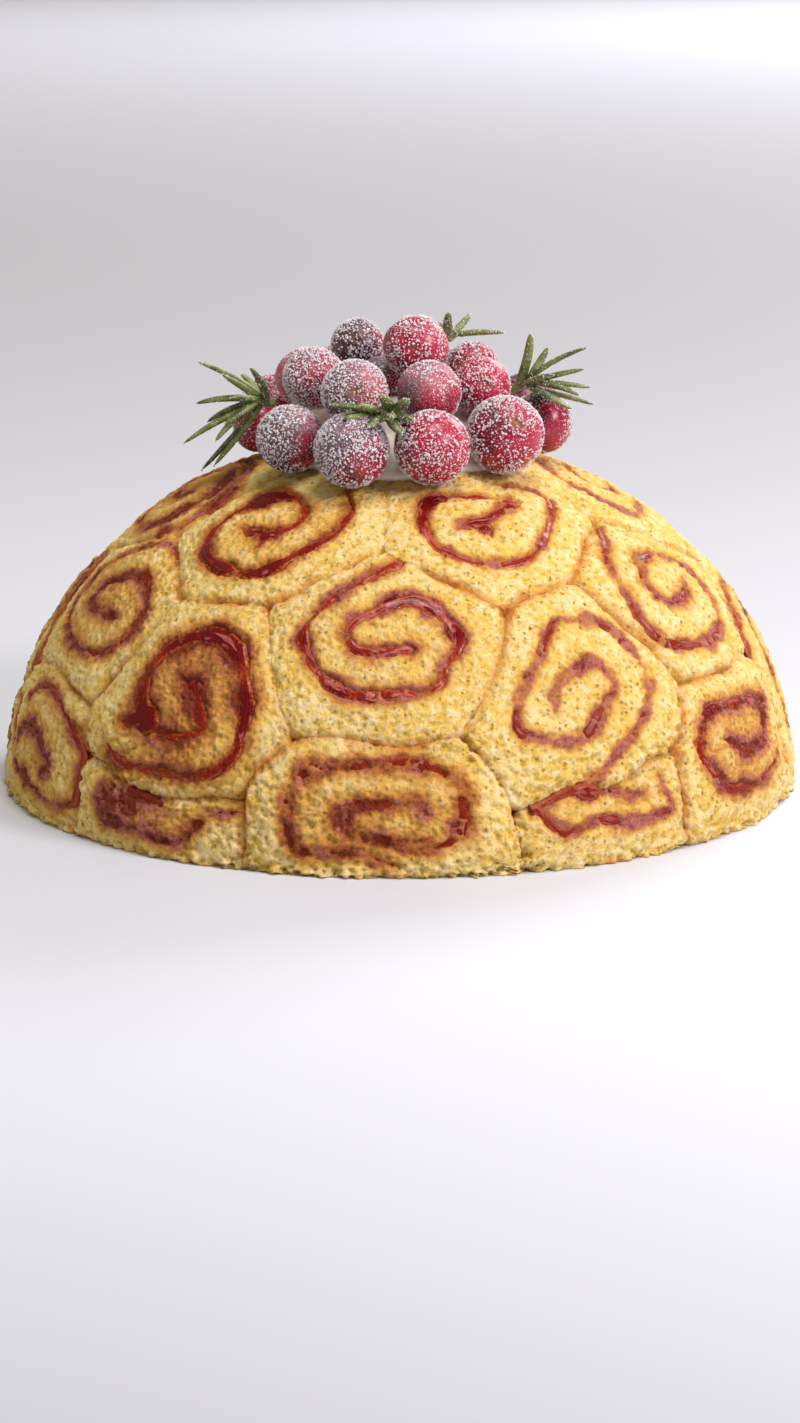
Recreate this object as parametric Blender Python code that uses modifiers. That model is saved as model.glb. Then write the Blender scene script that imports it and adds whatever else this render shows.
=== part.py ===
"""Charlotte royale: a dome of Swiss roll slices round a set filling, topped with cream,
sugared cranberries and rosemary. Lengths below are millimetres and angles degrees; the model
is written in metres with +Z up, standing on z = 0 with its shown side towards -Y."""
import math
import random

import bmesh
import bpy
import numpy as np
from mathutils import Vector

MM = 0.001
BASE_RADIUS = 102.5        # outside of the dome where it meets the plate
DOME_HEIGHT = 89.0         # plate to the top of the sponge
SLICE_THICKNESS = 11.0     # how thick the roll was cut
HALF_SEAM = 0.42           # half the gap left between neighbouring slices
EDGE_DROP = 2.0            # how far a slice's rounded rim falls below its face
GROOVE_DEPTH = 1.1         # how far the jam line sits below the sponge
CORE_GAP = 1.9             # clearance between the slices and the filling
COLUMNS = 26               # corners round one slice
ROWS = 4                   # alternate jam and sponge rows wound outwards
SIDES_OF_CORE = 26

# Every slice: azimuth from the shown side, lift up the dome, tilt of its fold, half length of
# the fold, size, winding sense, direction in which its jam runs out, turns, reach of the jam.
SLICES = {
    "slice_top": (0, 90, 20, 4, 24, 1, 0, 1.8, 17),
    "slice_upper_1": (-33, 55.5, 15, 4, 25, 1, 50, 1.75, 19),
    "slice_upper_2": (25, 58, 30, 5, 25, 1, 100, 1.8, 18),
    "slice_upper_3": (86, 60, 0, 3, 24, -1, 120, 1.9, 17),
    "slice_upper_4": (135, 57, 60, 4, 24, 1, 10, 1.8, 17),
    "slice_upper_5": (180, 59, 20, 3, 24, -1, 200, 1.8, 17),
    "slice_upper_6": (-132, 56, 100, 4, 25, 1, 300, 1.8, 17),
    "slice_upper_7": (-86, 58, 0, 4, 24, -1, 70, 1.8, 17),
    "slice_middle_1": (-64, 37, 5, 6, 23, -1, 80, 1.9, 17),
    "slice_middle_2": (-34, 25, 60, 3, 25, -1, 205, 1.65, 20),
    "slice_middle_3": (-3, 37.5, 0, 6, 25, -1, 95, 1.8, 19),
    "slice_middle_4": (29, 26.5, 50, 5, 25, -1, 260, 1.85, 19),
    "slice_middle_5": (58, 39.5, 0, 4, 24, -1, 105, 1.75, 19),
    "slice_middle_6": (90, 20, 80, 7, 23, 1, 40, 1.8, 17),
    "slice_middle_7": (121, 38, 20, 4, 24, -1, 130, 1.8, 17),
    "slice_middle_8": (150, 27, 120, 5, 24, 1, 250, 1.8, 18),
    "slice_middle_9": (180, 38, 0, 4, 24, -1, 250, 1.8, 17),
    "slice_middle_10": (-151, 21, 75, 8, 25, -1, 20, 1.8, 18),
    "slice_middle_11": (-119, 37, 10, 5, 24, 1, 140, 1.8, 17),
    "slice_middle_12": (-93, 31, 80, 4, 19, -1, 80, 1.8, 14),
    "slice_base_1": (-66, 11, -15, 5, 18, 1, 60, 1.8, 15),
    "slice_base_2": (-37, 6, 0, 14, 8, -1, 20, 1.4, 8),
    "slice_base_3": (-3, 10, 0, 13, 15, -1, 60, 1.7, 12),
    "slice_base_4": (30, 11, 0, 9, 9, -1, 10, 1.6, 11),
    "slice_base_5": (59, 14, 0, 8, 19, -1, 30, 1.7, 13),
    "slice_base_6": (115, 13, 0, 7, 19, 1, 100, 1.7, 14),
    "slice_base_7": (146, 7, 0, 11, 11, -1, 20, 1.5, 9),
    "slice_base_8": (177, 13, 10, 6, 20, 1, 150, 1.8, 14),
    "slice_base_9": (-123, 13, -10, 7, 19, 1, 60, 1.8, 14),
    "slice_base_10": (-95, 8, 0, 10, 15, -1, 120, 1.6, 11),
}

# Cranberries on the shown side: centre and radius.
BERRIES = [
    (-36.3, 2.0, 91.0, 6.5), (-27.4, -27.2, 92.0, 8.2), (-11.8, -41.0, 91.5, 9.0),
    (7.9, -40.3, 92.0, 9.0), (26.0, -29.4, 93.2, 9.4), (36.0, -5.0, 93.0, 7.7),
    (-21.4, -13.5, 105.2, 7.6), (-11.2, -27.4, 103.3, 8.1), (7.3, -26.4, 103.4, 7.7),
    (20.3, -15.6, 103.4, 7.3), (-10.9, 5.5, 111.4, 6.6), (3.9, -13.8, 113.3, 7.8),
    (-4.9, -3.4, 103.0, 6.2), (18.5, -0.8, 106.4, 6.5), (12.8, 12.6, 102.6, 6.5),
]
# Cranberries behind, in rings: azimuths, distance out from the axis, height above the dome
# and radius of each ring.
BACK_RINGS = [((122, 151, 180, 209, 238), 36.0, 1.5, 8.6), ((176, 217, 257), 21.5, 8.6, 7.5)]
BERRY_CLEAR = 0.45         # how far the cream stands off a cranberry

# Rosemary: where a sprig leaves the heap and the tips its needles reach.
SPRIGS = {
    "rosemary_left": ((-32.0, -9.0, 98.2), (-36.5, -11.5, 99.5), [
        (-50.6, -15, 109.5), (-37.4, -18, 108.6), (-44.5, -16, 106.6), (-54.8, -12, 88.4),
        (-50.5, -8, 81.0), (-47.0, -13, 83.0), (-40.5, -3, 105.0)]),
    "rosemary_right": ((28.4, -7.5, 101.6), (33.4, -11.5, 104.4), [
        (32.6, -17, 117.0), (46.9, -15, 113.2), (48.9, -12, 98.4), (46.4, -11, 107.2),
        (43.2, -17, 97.9), (37.5, -5, 112.0)]),
    "rosemary_back": ((12.2, 1.2, 113.4), (14.4, 0.2, 115.6), [
        (12.4, -5, 120.8), (26.5, -3, 115.4), (18.0, 8, 118.8), (6.0, 8, 118.0)]),
    "rosemary_front": ((-1.8, -33.5, 98.6), (-2.2, -40.5, 99.8), [
        (-12.4, -46, 103.4), (-4.6, -46.6, 104.4), (3.2, -47.6, 99.8), (-6.4, -48.8, 98.8)]),
}
NEEDLE_RADIUS = 0.85
STEM_RADIUS = 1.15

COLOURS = {
    "sponge": (0.83, 0.55, 0.19, 0.75),
    "filling": (0.88, 0.78, 0.60, 0.55),
    "cream": (0.90, 0.87, 0.80, 0.45),
    "cranberry": (0.42, 0.05, 0.09, 0.50),
    "rosemary": (0.16, 0.24, 0.08, 0.60),
}


def material(name):
    """A plain shader in the named piece's colour."""
    found = bpy.data.materials.get(name)
    if found:
        return found
    made = bpy.data.materials.new(name)
    made.use_nodes = True
    red, green, blue, rough = COLOURS[name]
    shader = made.node_tree.nodes["Principled BSDF"]
    shader.inputs["Base Color"].default_value = (red, green, blue, 1.0)
    shader.inputs["Roughness"].default_value = rough
    made.diffuse_color = (red, green, blue, 1.0)
    return made


def collection(name, parent):
    made = bpy.data.collections.new(name)
    parent.children.link(made)
    return made


def add_mesh(name, points, faces, slot, home):
    """A new object from points in millimetres, its faces triangulated and turned outwards."""
    shape = bmesh.new()
    corners = [shape.verts.new(Vector(p) * MM) for p in points]
    for face in faces:
        ring = list(dict.fromkeys(face))
        if len(ring) > 2:
            shape.faces.new([corners[i] for i in ring])
    bmesh.ops.triangulate(shape, faces=shape.faces[:])
    bmesh.ops.recalc_face_normals(shape, faces=shape.faces[:])
    mesh = bpy.data.meshes.new(name)
    shape.to_mesh(mesh)
    shape.free()
    mesh.materials.append(material(slot))
    made = bpy.data.objects.new(name, mesh)
    home.objects.link(made)
    return made


# --- the dome and the cells its slices fill -------------------------------------------------

def on_dome(points):
    """Slide points along the line to the base centre until they lie on the dome."""
    scale = np.sqrt((points[..., 0] ** 2 + points[..., 1] ** 2) / BASE_RADIUS ** 2
                    + points[..., 2] ** 2 / DOME_HEIGHT ** 2)
    return points / scale[..., None]


def outward(points):
    """Unit normals of the dome."""
    raw = points / np.array([BASE_RADIUS ** 2, BASE_RADIUS ** 2, DOME_HEIGHT ** 2])
    return raw / np.linalg.norm(raw, axis=-1, keepdims=True)


def frame(name):
    """Centre of a slice on the dome, its sideways, upward and outward directions."""
    azimuth, lift = (math.radians(a) for a in SLICES[name][:2])
    centre = np.array([BASE_RADIUS * math.cos(lift) * math.sin(azimuth),
                       -BASE_RADIUS * math.cos(lift) * math.cos(azimuth),
                       DOME_HEIGHT * math.sin(lift)])
    side = np.array([math.cos(azimuth), math.sin(azimuth), 0.0])
    out = outward(centre)
    return centre, side, np.cross(out, side), out


FRAMES = {name: frame(name) for name in SLICES}


def spread(name, reach, angle):
    """Point of a slice at a distance out from its fold, in a direction, laid on the dome."""
    centre, side, up, _ = FRAMES[name]
    tilt, fold = math.radians(SLICES[name][2]), SLICES[name][3]
    along = (fold + reach) * np.cos(angle)
    across = reach * np.sin(angle)
    u = along * math.cos(tilt) - across * math.sin(tilt)
    v = along * math.sin(tilt) + across * math.cos(tilt)
    return on_dome(centre + u[..., None] * side + v[..., None] * up)


def pull(name, points):
    """How far points lie outside a slice's own roll, negative when inside it."""
    centre, side, up, out = FRAMES[name]
    tilt, fold, size = math.radians(SLICES[name][2]), SLICES[name][3], SLICES[name][4]
    facing = points @ out
    flat = points * ((centre @ out) / np.maximum(facing, 1e-6))[..., None] - centre
    u, v = flat @ side, flat @ up
    along = u * math.cos(tilt) + v * math.sin(tilt)
    across = v * math.cos(tilt) - u * math.sin(tilt)
    gap = np.hypot(np.maximum(abs(along) - fold, 0.0), across) - size
    return np.where(facing > 0.25 * (centre @ out), gap, 1e3)


def outline(name, angles):
    """Reach of a slice in each direction, to where a neighbour or the plate stops it."""
    steps = np.linspace(0.0, 50.0, 1001)
    turn, reach = np.meshgrid(angles, steps, indexing="ij")
    points = spread(name, reach, turn)
    others = np.min([pull(other, points) for other in SLICES if other != name], axis=0)
    own, above = pull(name, points) < others, points[..., 2] > 0.0
    own[:, -1] = above[:, -1] = False
    edge, plate = (steps[np.argmin(inside, axis=1)] for inside in (own, above))
    soft = (np.roll(edge, 1) + 4 * edge + np.roll(edge, -1)) / 6
    return np.minimum(np.minimum(edge, soft) - HALF_SEAM, plate)


def jam_reach(turned, turns, reach):
    """Distance of the jam line from the fold after some turns of the roll."""
    wound = reach * (1 - (1 - np.minimum(turned, turns) / turns) ** 1.3)
    return 0.9 + wound + 9.0 * np.maximum(turned - turns, 0.0)


def roll_slice(name, home):
    """One slice: rows wound along its jam line, a rounded rim, its cut sides and its back."""
    _, _, tilt, _, _, sense, leaves, turns, reach = SLICES[name]
    start = math.radians(leaves - tilt) - sense * turns * 2 * math.pi
    column = np.arange(COLUMNS)
    angles = start + sense * column / COLUMNS * 2 * math.pi
    limit = outline(name, angles)
    points, rows = [], []
    for row in range(ROWS):
        wanted = jam_reach(row / 2 + column / COLUMNS, turns, reach)
        highest = np.maximum(limit - 2.4, 0.62 * limit) - 0.45 * (ROWS - 1 - row)
        laid = np.minimum(wanted, highest)
        depth = GROOVE_DEPTH * (row % 2 == 0) * (wanted < highest)
        rows.append(range(len(points), len(points) + COLUMNS))
        face = spread(name, laid, angles)
        points += list(face - outward(face) * np.asarray(depth)[..., None])
    rim = spread(name, limit, angles)
    rim[rim[:, 2] < 0.3, 2] = 0.0
    for drop in (EDGE_DROP, SLICE_THICKNESS):
        rows.append(range(len(points), len(points) + COLUMNS))
        points += list(rim - outward(rim) * drop)
    middle = FRAMES[name][0]
    points.append(middle - outward(middle) * (SLICE_THICKNESS - 1.6))  # the back is near flat

    first, last = 0, COLUMNS - 1
    faces = []
    for inner, outer in zip(rows[:ROWS], rows[1:ROWS + 1]):
        faces += [(inner[i], inner[i + 1], outer[i + 1], outer[i]) for i in range(last)]
    ends = [r[last] for r in rows[:ROWS + 1]]
    starts = [r[first] for r in rows[2:ROWS + 1]]
    starts += [starts[-1]] * 2
    faces += [(ends[i], starts[i], starts[i + 1], ends[i + 1]) for i in range(ROWS)]
    heart = rows[0][first]
    faces += [(heart, rows[0][i], rows[0][i + 1]) for i in range(1, last)]
    faces += [(heart, rows[0][last], rows[1][first]),
              (rows[1][first], rows[0][last], rows[2][first])]
    side, back, centre = rows[ROWS], rows[ROWS + 1], len(points) - 1
    for i in range(COLUMNS):
        j = (i + 1) % COLUMNS
        faces += [(side[i], side[j], back[j], back[i]), (back[i], back[j], centre)]
    return add_mesh(name, points, faces, "sponge", home)


# --- filling, cream, cranberries and rosemary -----------------------------------------------

def turned(name, profile, sides, slot, home):
    """Spin a profile of (radius, height) pairs round the vertical axis with a Screw."""
    mesh = bpy.data.meshes.new(name)
    mesh.from_pydata([(r * MM, 0.0, z * MM) for r, z in profile],
                     [(i, i + 1) for i in range(len(profile) - 1)], [])
    mesh.materials.append(material(slot))
    made = bpy.data.objects.new(name, mesh)
    home.objects.link(made)
    screw = made.modifiers.new("Turn", "SCREW")
    screw.steps = screw.render_steps = sides
    screw.use_merge_vertices = True
    screw.merge_threshold = 0.00005
    return made


def core_profile():
    """Inner face of the slices, moved in by the clearance, down to a flat base."""
    inset = SLICE_THICKNESS + CORE_GAP
    rise = np.radians(np.linspace(90, 0, 9))
    dome = np.stack([BASE_RADIUS * np.cos(rise), 0 * rise, DOME_HEIGHT * np.sin(rise)], -1)
    inner = dome - outward(dome) * inset
    profile = [(max(r, 0.0), max(z, 0.0)) for r, _, z in inner]
    profile[0] = (0.0, profile[0][1])
    return profile + [(0.0, 0.0)]


def resting(azimuth, out, height, radius):
    """Centre of a cranberry held at a height over the dome, at a distance out from the axis."""
    angle = math.radians(azimuth)
    spot = np.array([out * math.sin(angle), -out * math.cos(angle), 0.0])
    spot[2] = DOME_HEIGHT * math.sqrt(1 - (out / BASE_RADIUS) ** 2)
    return tuple(spot + outward(spot) * (radius + height)) + (radius,)


def ball(name, berry, grow, home):
    """A slightly long sphere lying on its side, turned by chance but alike at one place."""
    x, y, z, radius = berry
    draw = random.Random(str(berry))
    bpy.ops.mesh.primitive_uv_sphere_add(segments=9, ring_count=6, radius=(radius + grow) * MM,
                                         location=(x * MM, y * MM, z * MM))
    made = bpy.context.object
    made.name = made.data.name = name
    made.scale = (0.98, 0.98, 1.03)
    made.rotation_euler = (draw.uniform(0.9, 1.9), draw.uniform(-0.4, 0.4), draw.uniform(0, 6.2))
    for old in made.users_collection:
        old.objects.unlink(made)
    home.objects.link(made)
    return made


def cream(berries, home, cutters):
    """A dollop spread over the top of the dome, pressed in under every cranberry."""
    sides, rings = 24, (10.0, 20.0, 29.0, 37.0, 40.0)
    turn = np.arange(sides) / sides * 2 * math.pi
    lobes = 1 + 0.03 * np.sin(5 * turn + 2.0) + 0.11 * np.exp(2.5 * (np.cos(turn - 0.2) - 1))
    layers = []
    for thick in (True, False):
        for ring in rings:
            out = ring * lobes
            foot = np.stack([out * np.sin(turn), -out * np.cos(turn), 0 * turn], -1)
            foot[:, 2] = DOME_HEIGHT * np.sqrt(1 - (out / BASE_RADIUS) ** 2)
            height = 2.8 + 9.0 * max(0.0, 1 - (ring / 31.0) ** 2) ** 0.8
            if ring == rings[-1]:
                height = 1.3
            layers.append(foot + outward(foot) * (height if thick else 0.35))
    count = len(rings)
    points = [p for layer in layers for p in layer]
    points += [np.array([0, 0, DOME_HEIGHT + 12.2]), np.array([0, 0, DOME_HEIGHT + 0.35])]
    loops = [range(i * sides, (i + 1) * sides) for i in range(2 * count)]
    top, bottom = loops[:count], loops[count:]
    around = top + bottom[::-1]
    faces = []
    for i in range(sides):
        j = (i + 1) % sides
        faces += [(top[0][i], top[0][j], len(points) - 2),
                  (bottom[0][i], bottom[0][j], len(points) - 1)]
        faces += [(a[i], a[j], b[j], b[i]) for a, b in zip(around, around[1:])]
    made = add_mesh("cream", points, faces, "cream", home)
    for number, berry in enumerate(berries):
        cutter = ball(f"cut_{number}", berry, BERRY_CLEAR, cutters)
        cutter.hide_render = True
        cutter.display_type = "WIRE"
    carve = made.modifiers.new("Pressed in", "BOOLEAN")
    carve.operation = "DIFFERENCE"
    carve.operand_type = "COLLECTION"
    carve.collection = cutters
    carve.solver = "EXACT"
    return made


def bent_rod(name, path, radii, home):
    """A round rod along a few points, tapered, as a closed mesh."""
    curve = bpy.data.curves.new(name, "CURVE")
    curve.dimensions = "3D"
    curve.bevel_depth = MM
    curve.bevel_resolution = 0
    curve.use_fill_caps = True
    curve.resolution_u = 1
    line = curve.splines.new("POLY")
    line.points.add(len(path) - 1)
    for point, place, radius in zip(line.points, path, radii):
        point.co = (place[0] * MM, place[1] * MM, place[2] * MM, 1.0)
        point.radius = radius
    holder = bpy.data.objects.new(name + "_path", curve)
    home.objects.link(holder)
    depsgraph = bpy.context.evaluated_depsgraph_get()
    mesh = bpy.data.meshes.new_from_object(holder.evaluated_get(depsgraph))
    bpy.data.objects.remove(holder)
    bpy.data.curves.remove(curve)
    shape = bmesh.new()
    shape.from_mesh(mesh)
    bmesh.ops.remove_doubles(shape, verts=shape.verts, dist=1e-6)
    bmesh.ops.recalc_face_normals(shape, faces=shape.faces[:])
    shape.to_mesh(mesh)
    shape.free()
    made = bpy.data.objects.new(name, mesh)
    home.objects.link(made)
    return made


def sprig(name, home):
    """Curved needles springing from a short stem, joined into one solid."""
    foot, crown, tips = SPRIGS[name]
    foot, crown = Vector(foot), Vector(crown)
    loose = collection("loose_" + name, bpy.context.scene.collection)
    stem = bent_rod(name, [foot, foot.lerp(crown, 0.5), crown],
                    [STEM_RADIUS, STEM_RADIUS, STEM_RADIUS * 0.8], home)
    for number, tip in enumerate(tips):
        tip = Vector(tip)
        root = foot.lerp(crown, 0.35 + 0.6 * number / len(tips))
        bow = (tip - root).orthogonal().normalized() * 0.06 * (tip - root).length
        if bow.z < 0:
            bow.negate()
        path = [root, root.lerp(tip, 0.35) + bow, root.lerp(tip, 0.72) + bow, tip]
        sizes = [NEEDLE_RADIUS * k for k in (0.8, 1.0, 0.85, 0.35)]
        bent_rod(f"needle_{number}", path, sizes, loose)
    join = stem.modifiers.new("Join needles", "BOOLEAN")
    join.operation = "UNION"
    join.operand_type = "COLLECTION"
    join.collection = loose
    join.solver = "EXACT"
    depsgraph = bpy.context.evaluated_depsgraph_get()
    joined = bpy.data.meshes.new_from_object(stem.evaluated_get(depsgraph))
    stem.modifiers.clear()
    stem.data = joined
    joined.name = name
    joined.materials.clear()
    joined.materials.append(material("rosemary"))
    for needle in list(loose.objects):
        bpy.data.objects.remove(needle)
    bpy.data.collections.remove(loose)
    return stem


def build():
    for old in list(bpy.data.objects):
        bpy.data.objects.remove(old)
    scene = bpy.context.scene
    home = collection("charlotte_royale", scene.collection)
    cutters = collection("cutters", scene.collection)

    turned("filling_core", core_profile(), SIDES_OF_CORE, "filling", home)
    for name in SLICES:
        roll_slice(name, home)
    berries = list(BERRIES)
    for azimuths, out, height, radius in BACK_RINGS:
        berries += [resting(azimuth, out, height, radius) for azimuth in azimuths]
    for number, berry in enumerate(berries, start=1):
        fruit = ball(f"cranberry_{number:02d}", berry, 0.0, home)
        fruit.data.materials.append(material("cranberry"))
    cream(berries, home, cutters)
    for name in SPRIGS:
        sprig(name, home)


build()
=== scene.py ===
# Charlotte royale: a dome of jam roll slices under cream, sugared cranberries and rosemary.
# Lengths are millimetres and angles degrees until a mesh is written, in metres.
import math

import bpy
import numpy as np
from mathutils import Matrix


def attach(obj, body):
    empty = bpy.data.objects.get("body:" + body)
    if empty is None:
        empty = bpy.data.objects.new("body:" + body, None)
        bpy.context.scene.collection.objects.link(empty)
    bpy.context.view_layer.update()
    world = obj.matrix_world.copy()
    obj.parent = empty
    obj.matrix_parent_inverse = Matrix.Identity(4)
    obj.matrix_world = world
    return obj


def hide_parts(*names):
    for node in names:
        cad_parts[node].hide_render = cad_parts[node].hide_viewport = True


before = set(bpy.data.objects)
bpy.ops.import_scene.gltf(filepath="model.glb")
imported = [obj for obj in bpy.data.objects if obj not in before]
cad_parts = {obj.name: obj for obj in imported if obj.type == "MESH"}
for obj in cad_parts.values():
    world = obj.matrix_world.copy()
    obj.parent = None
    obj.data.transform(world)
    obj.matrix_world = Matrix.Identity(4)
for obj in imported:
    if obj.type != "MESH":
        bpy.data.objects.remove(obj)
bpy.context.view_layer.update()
mm = 0.001

dome = {
    "radius": 102.5,         # outside of the dome at the plate
    "height": 89.0,          # plate to the top of the sponge
}

# How every slice is cut and baked.
slicing = {
    "thickness": 11.0,
    "backDrop": 1.2,         # how much lower its back lies than the foot of its cut side
    "sideRings": (0.6, 1.8, 3.6, 6.0, 8.5, 11.0),    # depths of the rings down its cut side
    "backRings": (0.6, 0.25, 0.0),   # reach of the rings across its back, as shares
    "pocket": 2.0,           # reach of the dips where three slices meet
    "squeeze": 0.1,          # how far each slice presses into the next
    "rimWidth": 3.4,         # how far in from its edge a slice starts to round over
    "rimDrop": 1.8,          # how far the rounded edge falls
    "rimCurve": 2.2,         # how sharply it rounds over
    "belly": 0.9,            # how far a slice stands out past its rim
    "bellyReach": 10.0,      # how far in from the rim it has risen so far
    "trim": 0.35,            # how far the whole face lies inside the dome
    "puff": 0.35,            # how far the sponge swells between two lines of jam
    "puffReach": 1.8,        # how soon it does so beside them
    "gather": 1.12,          # how much closer the face's rings lie near the rim
    "faceStep": 0.38,        # spacing of the face's rings
    "edgeStep": 0.61,        # spacing of its corners round the rim
    "behind": 1.2,           # how much wider both are on the sides and back
    "wander": 2.4,           # how far a seam strays from its even course
    "meeting": 80.0,         # slices whose centres are nearer than this can meet
    "cornerBlur": 2.2,       # how far a slice's corners are rounded, in corners of its rim
}

# Where each slice lies: azimuth from the shown side, lift up the dome, tilt of its fold,
# half length of the fold and size.
rollSlices = {
    "slice_top": (0, 90, 20, 4, 24), "slice_upper_1": (-33, 55.5, 15, 4, 25),
    "slice_upper_2": (25, 58, 30, 5, 25), "slice_upper_3": (86, 60, 0, 3, 24),
    "slice_upper_4": (135, 57, 60, 4, 24), "slice_upper_5": (180, 59, 20, 3, 24),
    "slice_upper_6": (-132, 56, 100, 4, 25), "slice_upper_7": (-86, 58, 0, 4, 24),
    "slice_middle_1": (-64, 37, 5, 6, 23), "slice_middle_2": (-34, 25, 60, 3, 25),
    "slice_middle_3": (-3, 37.5, 0, 6, 25), "slice_middle_4": (29, 26.5, 50, 5, 25),
    "slice_middle_5": (58, 39.5, 0, 4, 24), "slice_middle_6": (90, 20, 80, 7, 23),
    "slice_middle_7": (121, 38, 20, 4, 24), "slice_middle_8": (150, 27, 120, 5, 24),
    "slice_middle_9": (180, 38, 0, 4, 24), "slice_middle_10": (-151, 21, 75, 8, 25),
    "slice_middle_11": (-119, 37, 10, 5, 24), "slice_middle_12": (-93, 31, 80, 4, 19),
    "slice_base_1": (-66, 11, -15, 5, 18), "slice_base_2": (-37, 6, 0, 14, 8),
    "slice_base_3": (-3, 10, 0, 13, 15), "slice_base_4": (30, 11, 0, 9, 9),
    "slice_base_5": (59, 14, 0, 8, 19), "slice_base_6": (115, 13, 0, 7, 19),
    "slice_base_7": (146, 7, 0, 11, 11), "slice_base_8": (177, 13, 10, 6, 20),
    "slice_base_9": (-123, 13, -10, 7, 19), "slice_base_10": (-95, 8, 0, 10, 15),
}

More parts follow.
